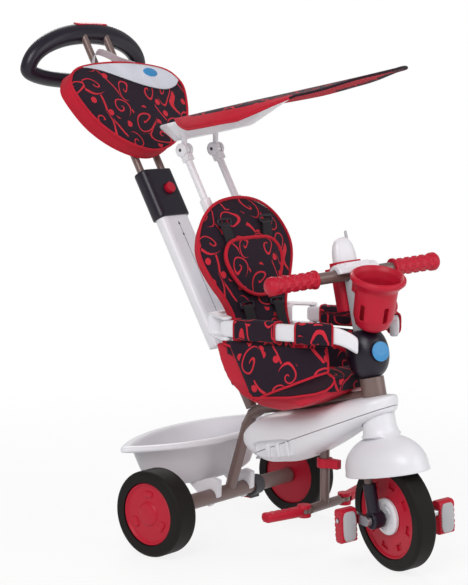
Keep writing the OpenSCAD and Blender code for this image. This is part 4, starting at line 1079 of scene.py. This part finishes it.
def inflate(obj, pinned, cap, press):
    """Fills a closed pad by cloth pressure from its seams, and lets no point move further than the cap."""
    start = np.array([v.co for v in obj.data.vertices])
    group = obj.vertex_groups.new(name="seams")
    group.add([int(i) for i in pinned], 1.0, "REPLACE")
    mod = obj.modifiers.new("cloth", "CLOTH")
    settings = mod.settings
    settings.quality = 6
    settings.mass = 0.3
    settings.use_pressure = True
    settings.uniform_pressure_force = press
    settings.effector_weights.gravity = 0
    settings.vertex_group_mass = "seams"
    settings.tension_stiffness = 12
    settings.compression_stiffness = 12
    settings.bending_stiffness = 0.6
    scene = bpy.context.scene
    for f in range(1, 21):
        scene.frame_set(f)
    filled = obj.evaluated_get(bpy.context.evaluated_depsgraph_get())
    end = np.array([v.co for v in filled.to_mesh().vertices])
    filled.to_mesh_clear()
    obj.modifiers.clear()
    scene.frame_set(1)
    move = end - start
    far = np.linalg.norm(move, axis=1)
    move *= np.where(far > cap * MM, cap * MM / np.maximum(far, 1e-9), 1.0)[:, None]
    obj.data.vertices.foreach_set("co", (start + move).ravel())
    obj.data.update()


def piping(name, path, r, place, body, closed=True, mat=RED_CLOTH):
    """A thin corded edge along a path."""
    v, f = tube(path, r, 10, closed=closed)
    run = np.repeat(np.arange(len(path)) * 3.0, 10)
    uv = np.column_stack([run, np.tile(np.arange(10), len(path))])
    return piece(name, v, f, place, body, mat, "red_cloth", uv=uv)


def drawn_in(rim, centre, x, scale):
    """A pad's outline at a height, drawn in towards its centre."""
    return np.column_stack([np.full(len(rim), x), (rim - centre) * scale + centre])


BACK_HALF = [(0, 233), (62, 224), (108, 195), (133, 155), (136, 120), (118, 78), (92, 38), (78, 0),
             (78, -50), (70, -80), (0, -84)]
BACK_MID = (0, 70)
rim = even(loop(mirrored(BACK_HALF), 6), 96)
pillow("back_cushion", "back_pad", rim, BACK_MID, -22, 22, 7, BACK, "frame", channels=(18,), deep=4,
       cap=7, foot=0.93)
piping("back_piping", drawn_in(rim, BACK_MID, 0.2, 0.995), 3.0, BACK, "frame")

INSERT_HALF = [(0, 150), (58, 146), (82, 122), (78, 92), (58, 60), (30, 42), (0, 36)]
INSERT_MID = (0, 96)
rim = even(loop(mirrored(INSERT_HALF), 6), 72)
pillow("insert_cushion", "insert_pad", rim, INSERT_MID, 8.6, 7, 5, BACK, "frame", rings=8, sides=3,
       cap=5)
piping("insert_piping", drawn_in(rim, INSERT_MID, 15.4, 0.985), 3.6, BACK, "frame")

# The seat pad lies flat: its outline's height runs forward and its thickness up
SEAT_HALF = [(0, 0), (96, 4), (107, 30), (107, 88), (94, 124), (62, 147), (0, 154)]
SEAT_MID = (0, 82)
LAID_FLAT = Matrix(((0, 0, 1, 0), (0, -1, 0, 0), (1, 0, 0, 0), (0, 0, 0, 1)))
SEAT = TRIKE @ shift(130, 0, SEAT_Z + 34.4) @ LAID_FLAT
rim = even(loop(mirrored(SEAT_HALF), 6), 84)
pillow("seat_pad", "seat_cushion", rim, SEAT_MID, 0, 14, 10, SEAT, "frame", PRINT, channels=(54, 108),
       deep=5, cap=7)
piping("seat_piping", drawn_in(rim, SEAT_MID, 14.2, 0.99), 2.6, SEAT, "frame")


# Fabric over the seat: flaps that hang from the arms, a lower layer behind them, and a lining

def along(plan, n):
    """Even stations along a plan line, with the outward direction at each."""
    p = even(line(plan, 8), n, closed=False)
    d = np.gradient(p, axis=0)
    out = np.stack([-d[:, 1], d[:, 0]], 1)
    return p, out / np.linalg.norm(out, axis=1)[:, None]


def drape(plan, out, rows):
    """A sheet along a plan line; each row gives its distance outward and its height at every station."""
    n = len(plan)
    k = len(rows)
    grid = np.zeros((n, k, 3))
    for j, (d, z) in enumerate(rows):
        grid[:, j, :2] = plan + out * np.broadcast_to(d, (n,))[:, None]
        grid[:, j, 2] = z
    corners = [i * k + j for i in range(n - 1) for j in range(k - 1)]
    quads = [(c, c + k, c + k + 1, c + 1) for c in corners]
    steps = np.linalg.norm(np.diff(grid, axis=1), axis=2)
    drop = np.concatenate([np.zeros((n, 1)), np.cumsum(steps, axis=1)], 1)
    uv = np.stack([np.broadcast_to(lengths(plan)[:, None], (n, k)), drop + grid[:, :1, 2]], 2)
    return grid, quads, uv.reshape(-1, 2)


def sheet_piece(name, grid, quads, uv, place, mat, thick):
    """A draped sheet of some thickness, sewn to the seat."""
    obj = piece(name, grid.reshape(-1, 3), quads, place, "frame", mat, uv=uv)
    thicken(obj, thick)
    return obj


SEAT_SIDE = [(98, 128.6), (160, 128.8), (225, 128), (252, 122.5), (272, 112), (287, 97), (297, 78)]
FLAP_TOP = 411
FLAP_HEM = [(98, 404), (118, 400), (146, 345), (160, 318), (172, 305), (200, 319), (225, 330), (252, 342),
            (272, 353), (287, 362), (297, 367)]
plan, out = along(SEAT_SIDE, 60)
hem = through(plan[:, 0], FLAP_HEM)
step = np.linspace(0, 1, 60)
flare = 8.0 * np.clip((step - 0.45) / 0.4, 0, 1)
wave = 1.2 * np.sin(step * 17)
rows = []
for t in np.linspace(0, 1, 14):
    fall = (1 - t) ** 2
    swell = 1.2 + 5.0 * math.sin(math.pi * min(1, t * 1.1)) * (hem < 398)
    rows.append((swell + flare * fall + wave * fall, hem + (FLAP_TOP - hem) * t))
flap_grid, flap_quads, flap_uv = drape(plan, out, rows)
flap_edge = np.concatenate([flap_grid[0, ::-1], flap_grid[1:, 0], flap_grid[-1, 1:]])

UNDER_LOW = [(160, 318), (170, 310), (225, 317), (252, 320), (272, 324), (287, 327), (297, 332), (301, 339),
             (303, 347)]
UNDER_HIGH = [(160, 372), (287, 372), (297, 366), (303, 353)]
plan, out = along(SEAT_SIDE[1:] + [(303, 62)], 50)
low = through(plan[:, 0], UNDER_LOW)
high = through(plan[:, 0], UNDER_HIGH)
rows = [(0.9 + 1.6 * (1 - t) ** 2, low + (high - low) * t) for t in np.linspace(0, 1, 8)]
under_grid, under_quads, under_uv = drape(plan, out, rows)
under_edge = np.concatenate([under_grid[:, 0], under_grid[-1, 1:], under_grid[-2:-14:-1, -1]])

for side, name in SIDES:
    place = mirror(side)
    flap = sheet_piece("side_flap_" + name, flap_grid, flap_quads, flap_uv + (side * 61, 0), place, PRINT, 3)
    if side < 0:
        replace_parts(flap, "side_flaps")
    sheet_piece("under_flap_" + name, under_grid, under_quads, under_uv, place, LINING, 1.6)
    piping("flap_piping_" + name, flap_edge, 2.7, place, "frame", closed=False)
    piping("under_piping_" + name, under_edge, 2.2, place, "frame", closed=False)


def seat_rim(x):
    """The height of the seat shell's rim, which falls to the front."""
    return 402 - (x - 96) * 56 / 214


# The lining runs up the seat's inside, over its ledge and rim, and down to a foot that is deep in front
SEAT_WALL = [(104, 125), (170, 125), (236, 124), (262, 115.5), (276, 105), (290, 84), (300, 58), (305, 30),
             (306, 0)]
LEDGE_WIDE = [(0, 44), (64, 36), (95, 22), (105, 17), (115, 8.4)]
FOOT_Z = 327
plan, out = along(SEAT_WALL + [(x, -y) for x, y in SEAT_WALL[-2::-1]], 150)
off_centre = np.abs(plan[:, 1])
rim = seat_rim(plan[:, 0])
share = np.interp(off_centre, [64, 96], [0, 1])
foot = FOOT_Z * (1 - share) + share * (rim - 14)
ledge = -through(off_centre, LEDGE_WIDE)
inner = seat_rim(plan[:, 0] + out[:, 0] * ledge)
rows = [(ledge - 15.6, 322.5), (ledge - 4.6, 324), (ledge - 0.8, 329), (ledge, 338), (ledge, inner - 8),
        (ledge + 0.4, inner - 1), (ledge + 2.4, inner + 2), (ledge * 0.5 - 1.6, (inner + rim) / 2 + 3),
        (-3.2, rim + 3), (-0.2, rim + 2.2), (1.6, rim - 1), (1.8, rim - 6), (2.0, foot)]
sheet_piece("seat_lining", *drape(plan, out, rows), TRIKE, PRINT, 1.6)


# Harness webbing

def strap(path, wide, thick, across):
    """A flat strap along a path, across giving the direction of its width."""
    p = np.asarray(path, float)
    t = np.gradient(p, axis=0)
    t /= np.linalg.norm(t, axis=1)[:, None]
    n = np.cross(t, np.broadcast_to(np.asarray(across, float), p.shape))
    n /= np.linalg.norm(n, axis=1)[:, None]
    s = np.cross(n, t)
    shape = superellipse(20, 7) * (wide / 2, thick / 2)
    v, f = loft([p[i] + shape[:, :1] * s[i] + shape[:, 1:] * n[i] for i in range(len(p))])
    return v, f, np.column_stack([np.tile(shape[:, 0], len(p)), np.repeat(lengths(p), 20)])


SHOULDER = [(5, 62, 184), (11.5, 62, 180), (13.5, 60, 168), (13, 56, 152), (10, 52, 140)]
LAP = [(6, 45, 22), (11.5, 45, 18), (13, 45, 4), (13.5, 45, -12), (13, 46, -26), (9, 46, -34)]
SHOULDER_SLOT = (12.5, 62, 184)
LAP_SLOT = (9.5, 45, 22)
slot_outline = superellipse(32, 6) * (18, 6)
straps, uvs, slots = [], [], []
for side in (-1, 1):
    for route, (x, y, z) in ((SHOULDER, SHOULDER_SLOT), (LAP, LAP_SLOT)):
        v, f, uv = strap(line([(p, side * q, r) for p, q, r in route], 6), 26, 2.4, (0, 1, 0))
        straps.append((v, f))
        uvs.append(uv)
        slots.append(tube([(x, side * y + q, z + r) for q, r in slot_outline], 2.2, 10, closed=True))
belts = piece("harness_webbing", *joined(*straps), BACK, "frame", WEBBING, uv=np.vstack(uvs))
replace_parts(belts, "harness_straps")
piece("strap_slots", *joined(*slots), BACK, "frame", DARK)


# Canopy

def canopy_points(n, rings):
    """The cloth from its middle to its rim: an arched oval, twisted in front, with a skirt behind."""
    points = []
    for k in range(rings + 1):
        r = max(0.004, k / rings)
        edge = np.clip((r - 0.84) / 0.16, 0, 1) ** 1.5
        for a in around(n):
            c, s = math.cos(a), abs(math.sin(a))
            x = CANOPY_HALF_LEN * r * c
            y = CANOPY_HALF_WIDE * r * math.sin(a)
            reach = 0.5 if y < 0 else -0.7
            skirt = CANOPY_SKIRT * np.clip((s - 0.5) / 0.3, 0, 1) * np.clip((reach - c) / 0.5, 0, 1) * edge
            ripple = 0.8 * math.sin(9 * a) * np.clip((r - 0.6) / 0.4, 0, 1) * (c > 0.2)
            twist = 0.045 * y * np.clip((x + 40) / 210, 0, 1)
            points.append((x, y, 10 - 10 * (y / CANOPY_HALF_WIDE) ** 2 - skirt + twist + ripple))
    return np.array(points)


SHADE = CANOPY @ shift(240, 0, 54.3)
n = 120
rings = 26
far = n // 4
near = n * 33 // 40
pts = canopy_points(n, rings)
faces, marks = [], []
for k in range(rings):
    for i in range(n):
        j = (i + 1) % n
        faces.append((k * n + i, (k + 1) * n + i, (k + 1) * n + j, k * n + j))
        marks.append(1 if k >= 0.86 * rings and far <= i < near else 0)
faces.append(tuple(range(n - 1, -1, -1)))
marks.append(0)
upper = piece("canopy_top", pts + (0, 0, 3.4), faces, SHADE, "canopy", [PRINT, RED_CLOTH], "red_cloth",
              uv=pts[:, :2], marks=marks)
thicken(upper, 1.2)

# The lining is red, with a printed ring in front
middles = [pts[list(f)].mean(0) for f in faces]
reach = [math.hypot(v[0] / CANOPY_HALF_LEN, v[1] / CANOPY_HALF_WIDE) for v in middles]
marks = [0 if v[0] > 0 and r > 0.9 else 1 for v, r in zip(middles, reach)]
under = piece("canopy_lining", pts * (0.992, 0.988, 1) + (0, 0, 1.2), faces, SHADE, "canopy",
              [PRINT, RED_CLOTH], "red_cloth", uv=pts[:, :2], marks=marks)
thicken(under, 0.8)
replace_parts(upper, "canopy_cloth")
rim = pts[rings * n:] * (0.998, 0.998, 1) + (0, 0, 2.4)
piping("canopy_binding", rim[far:near + 1], 2.2, SHADE, "canopy", closed=False)
front_rim = np.concatenate([rim[near:], rim[:far + 1]])
piping("canopy_front_binding", front_rim, 2.2, SHADE, "canopy", closed=False, mat=LINING)

# Storage bag on the handle's tubes

BAG = STEM @ shift(7.9, -10, 412)
BAG_HALF = [(0, 0), (70, 20), (128, 66), (158, 128), (156, 162), (116, 190), (0, 202)]
BAG_MID = (0, 120)
rim = even(loop(mirrored(BAG_HALF), 8), 120)
bag = pillow("storage_bag", "bag", rim, BAG_MID, 0, BAG_T, 6, BAG, "push_handle", rings=14, sides=8,
             waist=-0.006, cap=8, press=2.5)
piping("bag_piping", drawn_in(rim, BAG_MID, BAG_T + 0.2, 0.995), 2.6, BAG, "push_handle")
piping("bag_back_piping", drawn_in(rim, BAG_MID, 2.4, 0.995), 2.2, BAG, "push_handle")

bag_surface = BVHTree.FromObject(bag, bpy.context.evaluated_depsgraph_get())


def on_bag(y, z, lift):
    """The point of the bag's front at (y, z) in its own frame, raised by lift."""
    start = (BAG @ Vector((120, y, z))) * MM
    aim = (BAG.to_3x3() @ Vector((-1, 0, 0))).normalized()
    hit = bag_surface.ray_cast(start, aim)[0]
    x = (BAG.inverted() @ (hit / MM)).x if hit is not None else BAG_T
    return (x + lift, y, z)


FLAP_UPPER = [(-112, 190), (-60, 196), (0, 198.5), (60, 197), (112, 188), (140, 174), (151, 160)]
FLAP_LOWER = [(-112, 189.5), (-70, 181), (-20, 163), (40, 143), (92, 135), (130, 144), (151, 159.5)]
upper_edge = even(line(FLAP_UPPER, 8), 60, closed=False)
lower_edge = even(line(FLAP_LOWER, 8), 60, closed=False)
flat = np.array([p + (q - p) * k / 13 for p, q in zip(upper_edge, lower_edge) for k in range(14)])
sheet = [on_bag(y, z, 1.6 + 0.8 * (i % 14) / 13) for i, (y, z) in enumerate(flat)]
corners = [i * 14 + k for i in range(59) for k in range(13)]
quads = [(c, c + 1, c + 15, c + 14) for c in corners]
flap = piece("bag_flap", sheet, quads, BAG, "push_handle", PALE_CLOTH, uv=flat)
thicken(flap, 1.8)

OVAL_ROWS = ((1, 2.0), (1, 3.4), (0.9, 4.2), (0.5, 4.6), (0.1, 4.7))
oval = [[on_bag(72 + 20 * s * math.cos(t), 176 + 11 * s * math.sin(t), h) for t in around(40)]
        for s, h in OVAL_ROWS]
piece("bag_oval", *loft(oval), BAG, "push_handle", BLUE)
BAG_LOOP = [(24, -72, 192), (17, -58, 206), (11.5, -40, 226), (10.5, -22, 240), (10.5, 0, 236),
            (11.5, 26, 222), (14, 50, 212), (22, 74, 196)]
v, f, uv = strap(line(BAG_LOOP, 8), 15, 1.8, (0.9, 0, 0.4))
piece("bag_loop", v, f, BAG, "push_handle", PALE_WEB, uv=uv)
